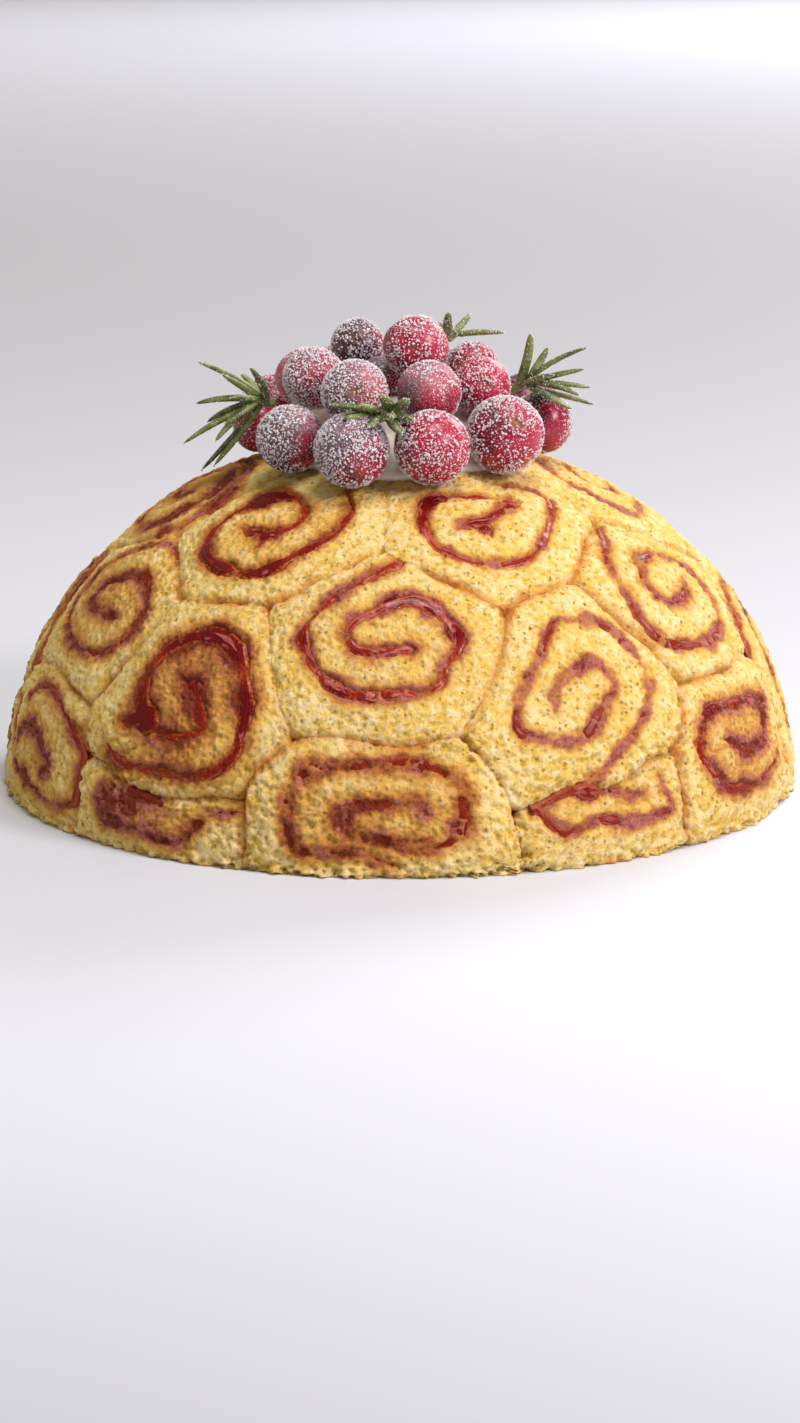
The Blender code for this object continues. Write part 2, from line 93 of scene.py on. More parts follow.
# Jam on the shown side: how soaked the sponge is, how rosy the jam is, partly as painted sheen,
# and how wet it is, and the course of each line through a few spots, from the middle outwards:
# sideways, up, half width.
jamLines = {
    "slice_upper_1": (0.55, 0.2, 1.0, [
        [(-9, 0, 0.5), (-4, -1.4, 1.3), (-1, -2.2, 1.7), (2, -0.4, 1.2), (5, 2.4, 1.1),
         (5.6, 6, 1.0), (4, 10, 0.9), (0, 13, 0.9), (-6, 13.4, 2.2), (-10, 11.4, 3.0),
         (-13.4, 7.6, 1.7), (-16, 3.6, 1.3), (-17.5, -2, 1.5), (-15.6, -8.6, 1.8),
         (-10.5, -13, 1.9), (-3, -15.3, 1.6), (3.4, -15, 1.6), (8, -12, 1.6), (11.4, -7, 1.3),
         (14.6, -2.6, 1.8), (16.8, 3, 1.1), (17, 9, 1.1), (15.4, 14, 0.8), (10.5, 20, 0.6)],
        [(-1, -2, 1.0), (-0.2, -4, 0.7), (0.2, -6, 0.3)]]),
    "slice_upper_2": (0.3, 0.7, 0.85, [
        [(-10, -0.8, 0.6), (-6, 0.2, 1.5), (-2, 0.6, 1.9), (2, 3, 1.7), (6, 5.4, 1.6),
         (9.2, 7.6, 1.2), (5, 9.4, 0.9), (0, 11, 1.0), (-6, 11.8, 0.9), (-11.6, 12, 2.0),
         (-15.6, 7.6, 1.6), (-18.2, 2, 1.1), (-18, -5, 1.0), (-15, -9.4, 0.9),
         (-10, -13.2, 1.2), (-5, -14.7, 1.4), (1, -14.6, 0.9), (6.4, -12, 0.9),
         (11, -7, 1.2), (15, -1.4, 0.9), (18.6, 5, 0.9), (20, 9.6, 0.7), (16, 13.6, 0.7),
         (8, 16, 0.6)],
        [(-3, 0, 1.6), (-3.4, -2.8, 1.4), (-2.6, -5.6, 0.4)]]),
    "slice_upper_3": (0.3, 0.8, 0.35, [
        [(9, 3, 0.7), (6, 7.4, 0.9), (2, 9.5, 1.3), (-3, 8, 1.0), (-5.5, 3, 0.8),
         (-3.5, -2, 0.8), (3, -4, 0.8), (10, -3, 0.8), (14, 2, 0.9), (13.6, 9, 0.9),
         (8, 14, 0.9), (0, 16.4, 0.8), (-9, 14.6, 0.8), (-14, 9, 0.8), (-15.8, 2, 0.9),
         (-15.4, -4, 1.2), (-12, -10, 1.2), (-6, -12, 1.2), (2, -12, 1.0), (10, -11, 0.9),
         (17, -7, 0.8), (21, 1, 0.6)]]),
    "slice_middle_1": (0.7, 0.7, 0.5, [
        [(11, -3.4, 0.7), (5, -3.4, 1.1), (0, -3.5, 1.2), (-4.6, -2.8, 1.1), (-6.4, 0.8, 0.8),
         (-4, 4.6, 0.9), (1, 6.6, 0.9), (6, 8.6, 1.1), (9.6, 9.6, 1.7), (13.6, 7.6, 0.9),
         (18, 4, 1.0), (20.6, 0, 1.6), (20.2, -5, 1.5), (17.6, -9.6, 1.2), (13, -13, 1.2),
         (6, -14.2, 1.1), (-3, -13.6, 1.1), (-10, -11, 1.3), (-15, -8, 1.1),
         (-16.8, -2, 0.8), (-16, 4, 0.7), (-12.6, 10, 0.7), (-7, 15, 0.7), (0, 19, 0.7),
         (7, 20.4, 0.8), (15, 17.6, 0.5)]]),
    "slice_middle_2": (1.0, 0.2, 1.0, [
        [(-1, 4.6, 0.8), (2, 3.6, 1.5), (4.6, 0, 1.1), (6.6, -4, 1.5), (7.8, -6.2, 1.3),
         (5, -8.6, 1.2), (0, -9.6, 0.9), (-6, -8.2, 1.6), (-10.6, -5.6, 3.2),
         (-12.4, -1.2, 1.7), (-12.4, 4, 0.9), (-11, 9, 1.3), (-7, 13.4, 1.6),
         (-1, 16.6, 2.0), (5, 16.8, 2.0), (10, 14.2, 2.0), (13.6, 10, 1.1), (16, 5, 1.8),
         (18.3, 0, 1.9), (18.6, -6, 1.5), (17.6, -12.4, 1.4), (13, -16.6, 1.2),
         (6, -18.6, 0.8), (-4, -18.6, 0.7), (-13, -18.6, 0.9), (-19, -16.4, 0.8),
         (-22.4, -13.6, 0.4)],
        [(-9, -5.4, 2.4), (-13, -6.8, 2.3), (-16.4, -7.6, 1.2), (-18, -8, 0.4)]]),
    "slice_middle_3": (0.5, 0.75, 0.9, [
        [(8.4, -3.6, 0.8), (3, -4.4, 1.1), (-2, -4.8, 1.1), (-6, -4, 1.3), (-8.4, -0.6, 1.0),
         (-6.8, 3.2, 1.0), (-2, 6, 1.2), (3, 8.8, 1.9), (7, 9.6, 2.0), (11.4, 8, 1.8),
         (15, 4.6, 1.2), (18.4, 0, 1.9), (18, -4, 1.4), (15.6, -8, 1.1), (14.8, -12.6, 1.1),
         (10, -15.2, 1.0), (4, -15.6, 1.4), (-2, -16.6, 1.8), (-8, -15.4, 1.4),
         (-13.6, -11.8, 1.5), (-17, -7, 1.3), (-19.2, -1, 1.4), (-18, 4, 0.8),
         (-13, 9.4, 0.7), (-7, 14.4, 0.8), (-1.4, 18.2, 1.1), (3, 21.6, 1.0),
         (4.4, 24.6, 0.4)]]),
    "slice_middle_4": (0.3, 1.0, 0.3, [
        [(-9.4, -3, 0.8), (-8.4, 0.6, 1.0), (-6, 3.4, 1.3), (-2, 5.4, 1.2), (3, 7.4, 1.5),
         (6.4, 5.4, 0.9), (8.4, 1.4, 0.8), (6, -2, 1.0), (2, -5.6, 1.3), (-2, -9.8, 1.4),
         (-7, -11.5, 1.2), (-12, -11, 1.0), (-16, -9, 0.7), (-20, -6.8, 1.5),
         (-19, -2, 1.1), (-15.6, 3.4, 1.1), (-10.6, 9.6, 1.1), (-5.4, 16, 1.1),
         (-0.6, 19.8, 1.2), (3.4, 18.6, 0.8), (8.4, 18.4, 1.3), (13, 15.4, 1.4),
         (16, 11, 1.0), (18.4, 5, 0.9), (18.4, 0, 1.2), (16.4, -5.4, 1.0), (11, -11.2, 0.9),
         (5, -15.6, 1.0), (0.6, -19, 1.0), (-3, -21.6, 1.5), (-8, -22.6, 1.3)]]),
    "slice_middle_5": (0.4, 0.75, 0.5, [
        [(8.4, 1.8, 0.6), (5.6, -1.8, 0.9), (1, -2.8, 1.2), (-4, -2.4, 1.0), (-6.8, 1, 1.0),
         (-6.4, 5, 0.9), (-4, 9.2, 1.1), (0, 11, 1.4), (5, 11, 1.1), (10, 9.4, 0.8),
         (15, 5.6, 0.9), (17.8, 1, 1.2), (17.8, -5, 1.0), (15.4, -10.8, 1.0),
         (10, -14, 1.2), (4, -15.6, 1.5), (-3, -15, 1.2), (-10, -13.6, 1.5),
         (-15.6, -11, 2.2), (-18, -5.6, 1.5), (-17.4, 0, 1.0), (-16.2, 8, 0.7),
         (-13, 14, 0.8), (-7, 19.4, 0.9), (-3, 24, 0.5)]]),
    "slice_base_1": (0.75, 0.7, 0.5, [
        [(7.4, -5.4, 1.8), (11.4, -3, 1.9), (8, 0, 1.4), (2, 3.8, 1.3), (-5, 4.6, 1.5),
         (-12, 1.6, 1.5), (-15.6, -3, 1.2), (-12, -7.6, 1.1), (-5, -8.6, 1.1), (4, -10, 0.8),
         (14, -11.4, 0.7), (23, -10.2, 0.9), (27, -5, 1.0), (27.4, 0, 1.1), (25, 4.8, 1.1),
         (19, 8.8, 1.1), (11, 12, 1.0), (3, 14.8, 1.1), (-5, 15, 0.9), (-13, 10.6, 0.7)]]),
    "slice_base_2": (0.85, 0.75, 0.15, [
        [(-3, 1, 1.6), (-8, 2.2, 2.4), (-13.4, 1.6, 2.6), (-14, -1.6, 2.4), (-8, -2.8, 2.2),
         (-2, -3.2, 1.3), (4, -4.6, 0.9), (10, -4.4, 0.9), (14.2, -1.4, 1.2),
         (16.8, 2.4, 1.3), (21, 3.8, 0.8), (26, 5, 0.4)],
        [(-18.4, 2, 0.6), (-13, 5.2, 0.8), (-5, 5, 0.8), (3, 4, 0.8), (6, 2.6, 0.4)]]),
    "slice_base_3": (0.7, 0.35, 0.4, [
        [(11.6, 0, 0.7), (9, 2.4, 1.3), (3, 2.2, 1.0), (-3, 2, 1.2), (-9, 0, 1.8),
         (-7.4, -3.2, 2.0), (-2, -5.6, 1.4), (4, -7, 1.0), (10, -7.6, 1.0), (16.4, -7.2, 1.2),
         (20.2, -3, 1.9), (20.4, 2, 1.2), (19.4, 7, 1.8), (14, 10.6, 1.4), (8, 12, 1.8),
         (1, 11.8, 1.2), (-6, 11.4, 1.1), (-12, 11, 1.3), (-17, 9.8, 1.7), (-20.8, 5.6, 1.1),
         (-22, 0, 1.1), (-21.4, -5, 1.2), (-19.2, -9, 1.5), (-12, -9.4, 0.9),
         (-4, -9.6, 0.8), (4, -12.4, 0.6)]]),
    "slice_base_4": (0.45, 0.95, 0.45, [
        [(-1.6, 4.4, 0.8), (-6, 3.5, 1.9), (-11, 2.3, 1.2), (-16, 1.8, 0.7), (-21, 2.8, 0.8),
         (-23.2, 1.6, 1.1), (-20, -2, 1.2), (-17, -5.6, 1.0), (-13.6, -8, 1.4),
         (-9, -7.2, 1.1), (-4, -6, 1.3), (1, -6.8, 1.1), (5.4, -7.8, 1.4), (11, -7.4, 0.8),
         (16, -6.8, 1.0), (18.2, -5.6, 1.0), (16.4, -1.6, 0.7), (15, 2.4, 0.5)],
        [(0.4, 0.4, 0.3), (4, -1, 0.5), (9.6, -1.3, 0.3)]]),
    "slice_base_5": (0.8, 0.7, 0.7, [
        [(-9.4, 1.6, 0.9), (-5, -0.6, 2.0), (-1.4, -3, 1.7), (3.4, -2.6, 0.9), (8, -3.4, 1.0),
         (11.6, -1, 0.8), (13.8, 3, 1.0), (12.6, 7, 1.9), (7, 8.6, 1.2), (0, 9, 0.9),
         (-7, 9.8, 1.1), (-14.6, 9.2, 1.9), (-18, 5, 1.3), (-20.4, 1, 1.1),
         (-18.4, -3.6, 1.5), (-15.2, -7.6, 2.0), (-10.6, -11, 1.3), (-3, -11.8, 1.0),
         (6, -12, 0.9), (14, -10.4, 0.6), (20, -8, 0.4)],
        [(12.6, 7, 1.6), (16, 6.8, 1.3), (19.6, 6.4, 0.5)]]),
}

# Jam on the other sides, wound by rule: which way it winds, the direction in which it runs
# out, turns, reach, half length of its fold, and how soaked, rosy (partly as painted sheen) and
# wet it is.
jamWindings = {
    "slice_top": (1, 0, 1.8, 15, 4, 0.5, 0.4, 0.5),
    "slice_upper_4": (1, 10, 1.75, 15, 4, 0.5, 0.2, 1.0),
    "slice_upper_5": (-1, 200, 1.8, 15, 3, 0.35, 0.8, 0.9),
    "slice_upper_6": (1, 300, 1.8, 15.5, 4, 0.6, 0.3, 0.7),
    "slice_upper_7": (-1, 70, 1.8, 15.5, 4, 0.8, 0.5, 0.45),
    "slice_middle_6": (1, 40, 1.8, 14.5, 6, 0.5, 0.5, 0.7),
    "slice_middle_7": (-1, 130, 1.8, 15, 4, 0.4, 0.7, 0.8),
    "slice_middle_8": (1, 250, 1.85, 15.5, 5, 0.6, 0.2, 1.0),
    "slice_middle_9": (-1, 250, 1.8, 15, 4, 0.5, 0.6, 0.8),
    "slice_middle_10": (-1, 20, 1.8, 15.5, 8, 0.6, 0.3, 0.7),
    "slice_middle_11": (1, 140, 1.75, 15, 5, 0.4, 0.6, 0.9),
    "slice_middle_12": (-1, 80, 1.8, 12.5, 4, 0.6, 0.3, 0.7),
    "slice_base_6": (1, 100, 1.7, 12.5, 7, 0.5, 0.5, 0.7),
    "slice_base_7": (1, 20, 1.5, 8.5, 10, 0.7, 0.3, 0.4),
    "slice_base_8": (1, 150, 1.8, 12.5, 6, 0.5, 0.6, 0.8),
    "slice_base_9": (1, 60, 1.8, 12.5, 7, 0.6, 0.3, 0.7),
    "slice_base_10": (-1, 120, 1.6, 10, 10, 0.7, 0.4, 0.5),
}

jam = {
    "thin": 0.85,            # half the width of a wound line
    "pool": 1.5,             # how much wider it is where it gathers
    "tightness": 0.75,       # turns over which the winding opens out
    "fromRim": 3.2,          # how far a wound line keeps from the slice's edge
    "drawnFromRim": 1.3,     # the same for a line laid through spots
    "evened": 8,             # how many times a line's bends are evened out
    "step": 0.45,            # spacing of points along a line
    "bite": 0.9,             # depth of the channel it lies in
    "level": -0.34,          # how high it stands over the dome
    "under": 0.6,            # how far it reaches under the crumbs beside it
    "depth": 1.8,            # how far down its underside lies
}


# --- noise and mesh helpers ---

# A repeatable random number from 0 to 1 for whole-numbered corners: products of the three
# coordinates with large odd numbers, folded together and cut to 24 bits.
def cornerNumber(corner, seed):
    mixed = (corner[..., 0] * 73856093) ^ (corner[..., 1] * 19349663) ^ (corner[..., 2] * 83492791)
    mixed = (mixed ^ (seed * 2654435761)) & 0xFFFFFFFF
    mixed = ((mixed ^ (mixed >> 15)) * 2246822519) & 0xFFFFFFFF
    mixed = ((mixed ^ (mixed >> 13)) * 3266489917) & 0xFFFFFFFF
    return ((mixed ^ (mixed >> 16)) & 0xFFFFFF) / 0xFFFFFF


# Soft noise from -1 to 1: random numbers at the corners of cubes, blended by t * t * (3 - 2 t).
def softNoise(points, size, seed):
    spot = points / size
    low = np.floor(spot).astype(np.int64)
    part = spot - low
    part = part * part * (3 - 2 * part)
    total = 0.0
    for corner in range(8):
        step = np.array([corner & 1, corner >> 1 & 1, corner >> 2 & 1])
        weight = np.prod(np.where(step == 1, part, 1 - part), axis=-1)
        total = total + weight * cornerNumber(low + step, seed)
    return 2 * total - 1


# Distance, in cells, to the nearest of one random point in each cube: small at a pore's middle.
def poreGap(points, size, seed):
    spot = points / size
    low = np.floor(spot).astype(np.int64)
    nearest = np.full(points.shape[:-1], 9.0)
    for number in range(27):
        cell = low + np.array([number % 3 - 1, number // 3 % 3 - 1, number // 9 - 1])
        place = np.stack([cornerNumber(cell, seed + k) for k in (1, 2, 3)], -1)
        nearest = np.minimum(nearest, np.linalg.norm(cell + place - spot, axis=-1))
    return nearest


def smoothStep(low, high, value):
    part = np.clip((value - low) / (high - low), 0.0, 1.0)
    return part * part * (3 - 2 * part)


# Faces between the rings of a grid: corner (i, j), (i, j+1), (i+1, j+1), (i+1, j).
def gridFaces(rows, columns):
    i, j = np.meshgrid(np.arange(rows - 1), np.arange(columns), indexing="ij")
    k = (j + 1) % columns
    return np.stack([i * columns + j, i * columns + k, (i + 1) * columns + k,
                     (i + 1) * columns + j], -1).reshape(-1, 4)


# A fan of triangles from a tip to a closed ring of corners.
def fan(tip, start, count, flip=False):
    ring = start + np.arange(count)
    after = np.roll(ring, -1)
    return np.stack([np.full(count, tip), *((after, ring) if flip else (ring, after))], -1)


# Two coordinates turned by an angle.
def turned(x, y, angle):
    return (x * math.cos(angle) - y * math.sin(angle),
            x * math.sin(angle) + y * math.cos(angle))


# A mesh object from points in millimetres and groups of faces, each group of one length, with
# a float attribute for each mark.
def putPiece(name, points, faces, finish, replaced=(), marks=None, smooth=True):
    mesh = bpy.data.meshes.new(name)
    sizes = np.concatenate([np.full(len(group), group.shape[1]) for group in faces])
    corners = np.concatenate([group.reshape(-1) for group in faces])
    mesh.vertices.add(len(points))
    mesh.vertices.foreach_set("co", (np.asarray(points) * mm).astype(np.float32).reshape(-1))
    mesh.loops.add(len(corners))
    mesh.loops.foreach_set("vertex_index", corners.astype(np.int32))
    mesh.polygons.add(len(sizes))
    starts = np.concatenate([[0], np.cumsum(sizes)[:-1]])
    mesh.polygons.foreach_set("loop_start", starts.astype(np.int32))
    mesh.polygons.foreach_set("use_smooth", np.full(len(sizes), smooth))
    mesh.update(calc_edges=True)
    for key, values in (marks or {}).items():
        layer = mesh.attributes.new(key, "FLOAT", "POINT")
        layer.data.foreach_set("value", np.asarray(values, np.float32).reshape(-1))
    mesh.materials.append(finish)
    piece = bpy.data.objects.new(name, mesh)
    bpy.context.scene.collection.objects.link(piece)
    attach(piece, "root")
    if replaced:
        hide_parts(*replaced)


# --- finishes ---

# A value inside a material: +, - and * add the math node that does it.
class Level:
    def __init__(self, finish, socket):
        self.finish, self.socket = finish, socket

    def __add__(self, other):
        return self.finish.sums("ADD", self, other)

    def __sub__(self, other):
        return self.finish.sums("SUBTRACT", self, other)

    def __mul__(self, other):
        return self.finish.sums("MULTIPLY", self, other)


# A material in the making. Each method adds one node and gives its output; sizes are in
# millimetres.
class Finish:
    def __init__(self, name):
        self.material = bpy.data.materials.new(name)
        self.material.use_nodes = True
        self.tree = self.material.node_tree
        self.where = self.add("TexCoord").outputs["Object"]

    def plug(self, socket, value):
        value = value.socket if isinstance(value, Level) else value
        if isinstance(value, bpy.types.NodeSocket):
            self.tree.links.new(value, socket)
        else:
            socket.default_value = value

    def add(self, kind, inputs=None, **settings):
        made = self.tree.nodes.new("ShaderNode" + kind)
        for key, value in settings.items():
            setattr(made, key, value)
        for key, value in (inputs or {}).items():
            self.plug(made.inputs[key], value)
        return made

    def sums(self, operation, first, second, clamp=False):
        made = self.add("Math", {0: first, 1: second}, operation=operation, use_clamp=clamp)
        return Level(self, made.outputs[0])

    def remap(self, value, low, high, toLow=0.0, toHigh=1.0):
        made = self.add("MapRange", {"Value": value, "From Min": low, "From Max": high,
                                     "To Min": toLow, "To Max": toHigh},
                        interpolation_type="SMOOTHSTEP")
        return Level(self, made.outputs[0])

    def tint(self, amount, first, second):
        return self.add("Mix", {0: amount, 6: first, 7: second}, data_type="RGBA",
                        clamp_factor=True).outputs[2]

    def noise(self, size, detail=3.0, rough=0.55, where=None, stir=0.0):
        made = self.add("TexNoise", {"Vector": where or self.where, "Scale": 1000.0 / size,
                                     "Detail": detail, "Roughness": rough, "Distortion": stir})
        return Level(self, made.outputs["Fac"])

    def cells(self, size):
        return self.add("TexVoronoi", {"Vector": self.where, "Scale": 1000.0 / size}).outputs

    def mark(self, name):
        return Level(self, self.add("Attribute", attribute_name=name).outputs["Fac"])

    # Sets the shader's own sockets and its bump, and gives the material.
    def done(self, values, height=None, depth=0.0):
        sockets = self.tree.nodes["Principled BSDF"].inputs
        for key, value in values.items():
            self.plug(sockets[key], value)
        if height:
            relief = self.add("Bump", {"Height": height, "Distance": depth * mm, "Strength": 1.0})
            self.plug(sockets["Normal"], relief.outputs[0])
        return self.material


def colour(*levels):
    return (*levels, 1.0)


sponge = {
    # cream is a paler crumb tone and also painted highlight on the crumb tops
    "cream": colour(0.95, 0.82, 0.53),
    "pale": colour(0.93, 0.71, 0.27),
    "golden": colour(0.88, 0.59, 0.135),
    # poreShade and deepPoreShade are painted shade in the pores and hollows
    "poreShade": colour(0.60, 0.37, 0.05),
    "deepPoreShade": colour(0.36, 0.19, 0.022),
    "skin": colour(0.62, 0.235, 0.035),
    "soaked": colour(0.64, 0.28, 0.045),
    "jammy": colour(0.40, 0.115, 0.030),
    "blushed": colour(0.50, 0.165, 0.13),
    "drenched": colour(0.19, 0.022, 0.008),
}


# Sponge: pale to golden by soft noise; creamy on the crumb tops, partly a paler crumb tone and
# partly painted highlight; darker gold in the pores and hollows by the pore-shade mark and fine
# noise, with dark specks in the pores, both painted shade; caramel at its rim, worn away here and
# there; amber, then jammy, then drenched by the stain mark.
def spongeFinish():
    made = Finish("spongeCrumb")
    broad, mottle = made.noise(11.0, 2.0), made.noise(2.2, 3.0, 0.6)
    fine, patchy = made.noise(0.8, 4.0, 0.75), made.noise(5.0, 2.0)
    grain, poreShade = fine - 0.5, made.mark("poreShade")
    base = made.tint(made.remap(broad + mottle, 0.84, 1.12), sponge["golden"], sponge["pale"])
    # Painted highlight: cream on the crumb tops, less in the hollows, partly the crumb's own paler
    # tone.
    paleCrumbAndHighlight = grain * 0.7 + (mottle - 0.5) * 0.55 - poreShade * 0.09
    base = made.tint(made.remap(paleCrumbAndHighlight, -0.02, 0.12, 0.0, 0.78), base, sponge["cream"])
    # Painted shade: darker gold in the pores and hollows.
    poreShadeMask = poreShade * 0.5 + grain * -2.8
    base = made.tint(made.remap(poreShadeMask, 0.05, 0.80, 0.0, 0.8), base, sponge["poreShade"])
    # Painted shade: dark specks in the pores, also sunk by the bump.
    specks = made.cells(1.35)
    picked = made.add("SeparateColor", {0: specks["Color"]}).outputs[0]
    speck = made.remap(grain + specks["Distance"], 0.06, 0.38, 1.0, 0.0)
    speck = speck * made.remap(picked, 0.55, 0.95)
    base = made.tint(speck * 0.65, base, sponge["deepPoreShade"])
    rim = made.mark("rimGap") + (patchy - 0.5) * 4.0 + grain * 1.5
    worn = made.remap(made.noise(15.0, 2.0), 0.38, 0.60, 0.30, 1.0)
    base = made.tint(made.remap(rim, -0.4, 2.7, 0.95, 0.0) * worn, base, sponge["skin"])
    stain = made.mark("stain") + grain * 1.1 + (mottle - 0.5) * 0.5
    base = made.tint(made.remap(stain, 0.10, 0.50, 0.0, 0.85), base, sponge["soaked"])
    base = made.tint(made.remap(stain, 0.45, 0.90, 0.0, 0.90), base, sponge["jammy"])
    blush = made.remap(patchy + (made.mark("rosyAndSheen") - 0.5) * 0.35, 0.46, 0.60)
    base = made.tint(blush * made.remap(stain, 0.55, 0.9, 0.0, 0.9), base, sponge["blushed"])
    base = made.tint(made.remap(stain, 0.90, 1.25, 0.0, 0.9), base, sponge["drenched"])
    damp = made.remap(stain, 0.5, 1.0, 0.85, 0.5)
    return made.done({"Base Color": base, "Roughness": damp, "Specular IOR Level": 0.2},
                     fine - speck * 0.4, 0.8)


jelly = {
    "deep": colour(0.13, 0.0012, 0.002),
    "ruby": colour(0.30, 0.018, 0.006),
    # paintedSheen: a painted reflection, the rose veil wet jam shows where it mirrors bright
    # surroundings
    "paintedSheen": colour(0.50, 0.125, 0.115),
    "edge": colour(0.45, 0.100, 0.018),
    "rosyEdge": colour(0.42, 0.115, 0.055),
}


# Jam: deep red where it is thick and ruby where thin, with streaks along its run, and a rose
# veil of painted reflection along the streaks, a little stronger, and its soaked edges rosier,
# by the rosyAndSheen mark; brown and dull by the inset mark, where it soaks away, and by a low
# wet mark.
def jamFinish():
    made = Finish("redJam")
    thick, rosyAndSheen, wet = made.mark("thick"), made.mark("rosyAndSheen"), made.mark("wet")
    lengthways = made.add("CombineXYZ", {0: made.mark("run") * 0.16,
                                         1: made.mark("side") * 0.75, 2: thick}).outputs[0]
    streak = made.noise(1000.0, 3.0, 0.6, lengthways, 0.6)
    fine, spread = made.noise(0.9, 3.0), made.noise(12.0, 2.0)
    base = made.tint(made.remap(thick + (streak - 0.5) * 3.0, 0.6, 1.9),
                     jelly["ruby"], jelly["deep"])
    # Painted reflection: a rose veil along the streaks, a little stronger on rosier slices.
    sheenMask = made.remap(streak + ((rosyAndSheen - 0.6) * 0.22 + (spread - 0.5) * 0.5), 0.53, 0.65)
    base = made.tint(sheenMask * 0.85, base, jelly["paintedSheen"])
    soaking = made.remap(made.mark("inset") + (fine - 0.5) * 2.6, -0.2, 0.7, 1.0, 0.0)
    edge = made.tint(made.remap(rosyAndSheen, 0.5, 1.0), jelly["edge"], jelly["rosyEdge"])
    base = made.tint(soaking, base, edge)
    dry = made.remap(wet, 0.0, 0.9, 0.85, 0.0)
    base = made.tint(dry, base, sponge["drenched"])
    dull = made.remap(made.sums("MAXIMUM", soaking, dry), 0.0, 1.0, 0.12, 0.6)
    return made.done({"Base Color": base, "Roughness": dull, "Specular IOR Level": 0.05,
                      "Coat Weight": wet * 0.26, "Coat Roughness": 0.07},
                     streak + fine * 0.7, 0.9)


berryCoat = {
    # dark and blush are the berry's own tones, and through the ripe mark also painted shade on its
    # left side and painted light on its right
    "red": colour(0.40, 0.004, 0.038),
    "dark": colour(0.045, 0.006, 0.022),
    "blush": colour(0.52, 0.03, 0.085),
    "dust": colour(0.83, 0.71, 0.82),
    "star": colour(0.24, 0.11, 0.045),
}


# Cranberry skin: red to near black by the ripe mark and soft noise, the mark also carrying
# painted shade, darker on its left side, and painted light, blushing redder on its right; dusted
# with fine sugar in patches by the frost mark, brown at the blossom end.
def berryFinish():
    made = Finish("cranberrySkin")
    fine = made.noise(0.8, 4.0, 0.7)
    ripe = made.mark("ripe") + (made.noise(7.0, 2.0) - 0.5) * 1.3
    base = made.tint(made.remap(ripe, 0.15, 0.85), berryCoat["red"], berryCoat["dark"])
    base = made.tint(made.remap(ripe, -0.35, 0.15, 0.55, 0.0), base, berryCoat["blush"])
    speck = made.remap(made.cells(0.62)["Distance"], 0.18, 0.42, 1.0, 0.0)
    dusty = made.mark("frost") + (fine - 0.5) * 0.9
    dust = made.sums("ADD", speck * made.remap(dusty, 0.1, 0.8),
                     made.remap(dusty, 0.55, 1.25, 0.0, 0.55), True)
    base = made.tint(dust * 0.42, base, berryCoat["dust"])
    base = made.tint(made.mark("blossom"), base, berryCoat["star"])
    return made.done({"Base Color": base, "Roughness": made.remap(dust, 0.0, 0.6, 0.24, 0.8)},
                     dust + fine * 0.3, 0.18)


# Sugar: clear white grains, a little uneven in shade, with a weak bright glint.
def sugarFinish():
    made = Finish("sugarGrains")
    base = made.tint(made.noise(2.0), colour(0.87, 0.80, 0.88), colour(0.98, 0.94, 1.0))
    return made.done({"Base Color": base, "Roughness": 0.28, "Transmission Weight": 0.25})


# Whipped cream: warm white, softly mottled, satin.
def creamFinish():
    made = Finish("whippedCream")
    base = made.tint(made.noise(6.0), colour(0.86, 0.80, 0.70), colour(0.93, 0.90, 0.84))
    return made.done({"Base Color": base, "Roughness": 0.42, "Subsurface Weight": 0.2,
                      "Subsurface Radius": (0.004, 0.003, 0.002)}, made.noise(1.6), 0.25)


# Set filling: pale custard with a faint grain.
def fillingFinish():
    made = Finish("setFilling")
    base = made.tint(made.noise(5.0), colour(0.82, 0.70, 0.48), colour(0.90, 0.80, 0.60))
    return made.done({"Base Color": base, "Roughness": 0.5}, made.noise(1.5), 0.2)


leafGreen = {
    "dark": colour(0.075, 0.105, 0.025),
    "fresh": colour(0.21, 0.26, 0.07),
    "vein": colour(0.30, 0.33, 0.16),
    "frost": colour(0.80, 0.82, 0.78),
}


# Rosemary: dark to fresh green along a needle, a pale groove down its middle by the across
# mark, and a frost of fine sugar in specks.
def rosemaryFinish():
    made = Finish("rosemaryNeedle")
    base = made.tint(made.remap(made.noise(4.0, 2.0), 0.35, 0.65),
                     leafGreen["dark"], leafGreen["fresh"])
    base = made.tint(made.remap(made.mark("across"), 0.0, 0.35, 0.6, 0.0), base,
                     leafGreen["vein"])
    specks = made.remap(made.cells(0.6)["Distance"], 0.12, 0.36, 1.0, 0.0)
    frosty = specks * made.remap(made.noise(3.0), 0.40, 0.66)
    base = made.tint(frosty * 0.8, base, leafGreen["frost"])
    return made.done({"Base Color": base, "Roughness": 0.5},
                     made.noise(0.7, 3.0, 0.7) + frosty, 0.12)


finishes = {"sponge": spongeFinish(), "jam": jamFinish(), "berry": berryFinish(),
            "sugar": sugarFinish(), "cream": creamFinish(), "filling": fillingFinish(),
            "rosemary": rosemaryFinish()}


# --- the dome and its slices ---

# Points slid along the line to the base centre until they lie on the dome.
def onDome(points):
    scale = np.sqrt((points[..., 0] ** 2 + points[..., 1] ** 2) / dome["radius"] ** 2
                    + points[..., 2] ** 2 / dome["height"] ** 2)
    return points / scale[..., None]


# Unit normals of the dome.
def outward(points):
    raw = points / np.array([dome["radius"] ** 2, dome["radius"] ** 2, dome["height"] ** 2])
    return raw / np.linalg.norm(raw, axis=-1, keepdims=True)


# The spot on the dome at an azimuth from the shown side and a lift up it.
def domeSpot(azimuth, lift):
    turn, rise = math.radians(azimuth), math.radians(lift)
    return np.array([dome["radius"] * math.cos(rise) * math.sin(turn),
                     -dome["radius"] * math.cos(rise) * math.cos(turn),
                     dome["height"] * math.sin(rise)])


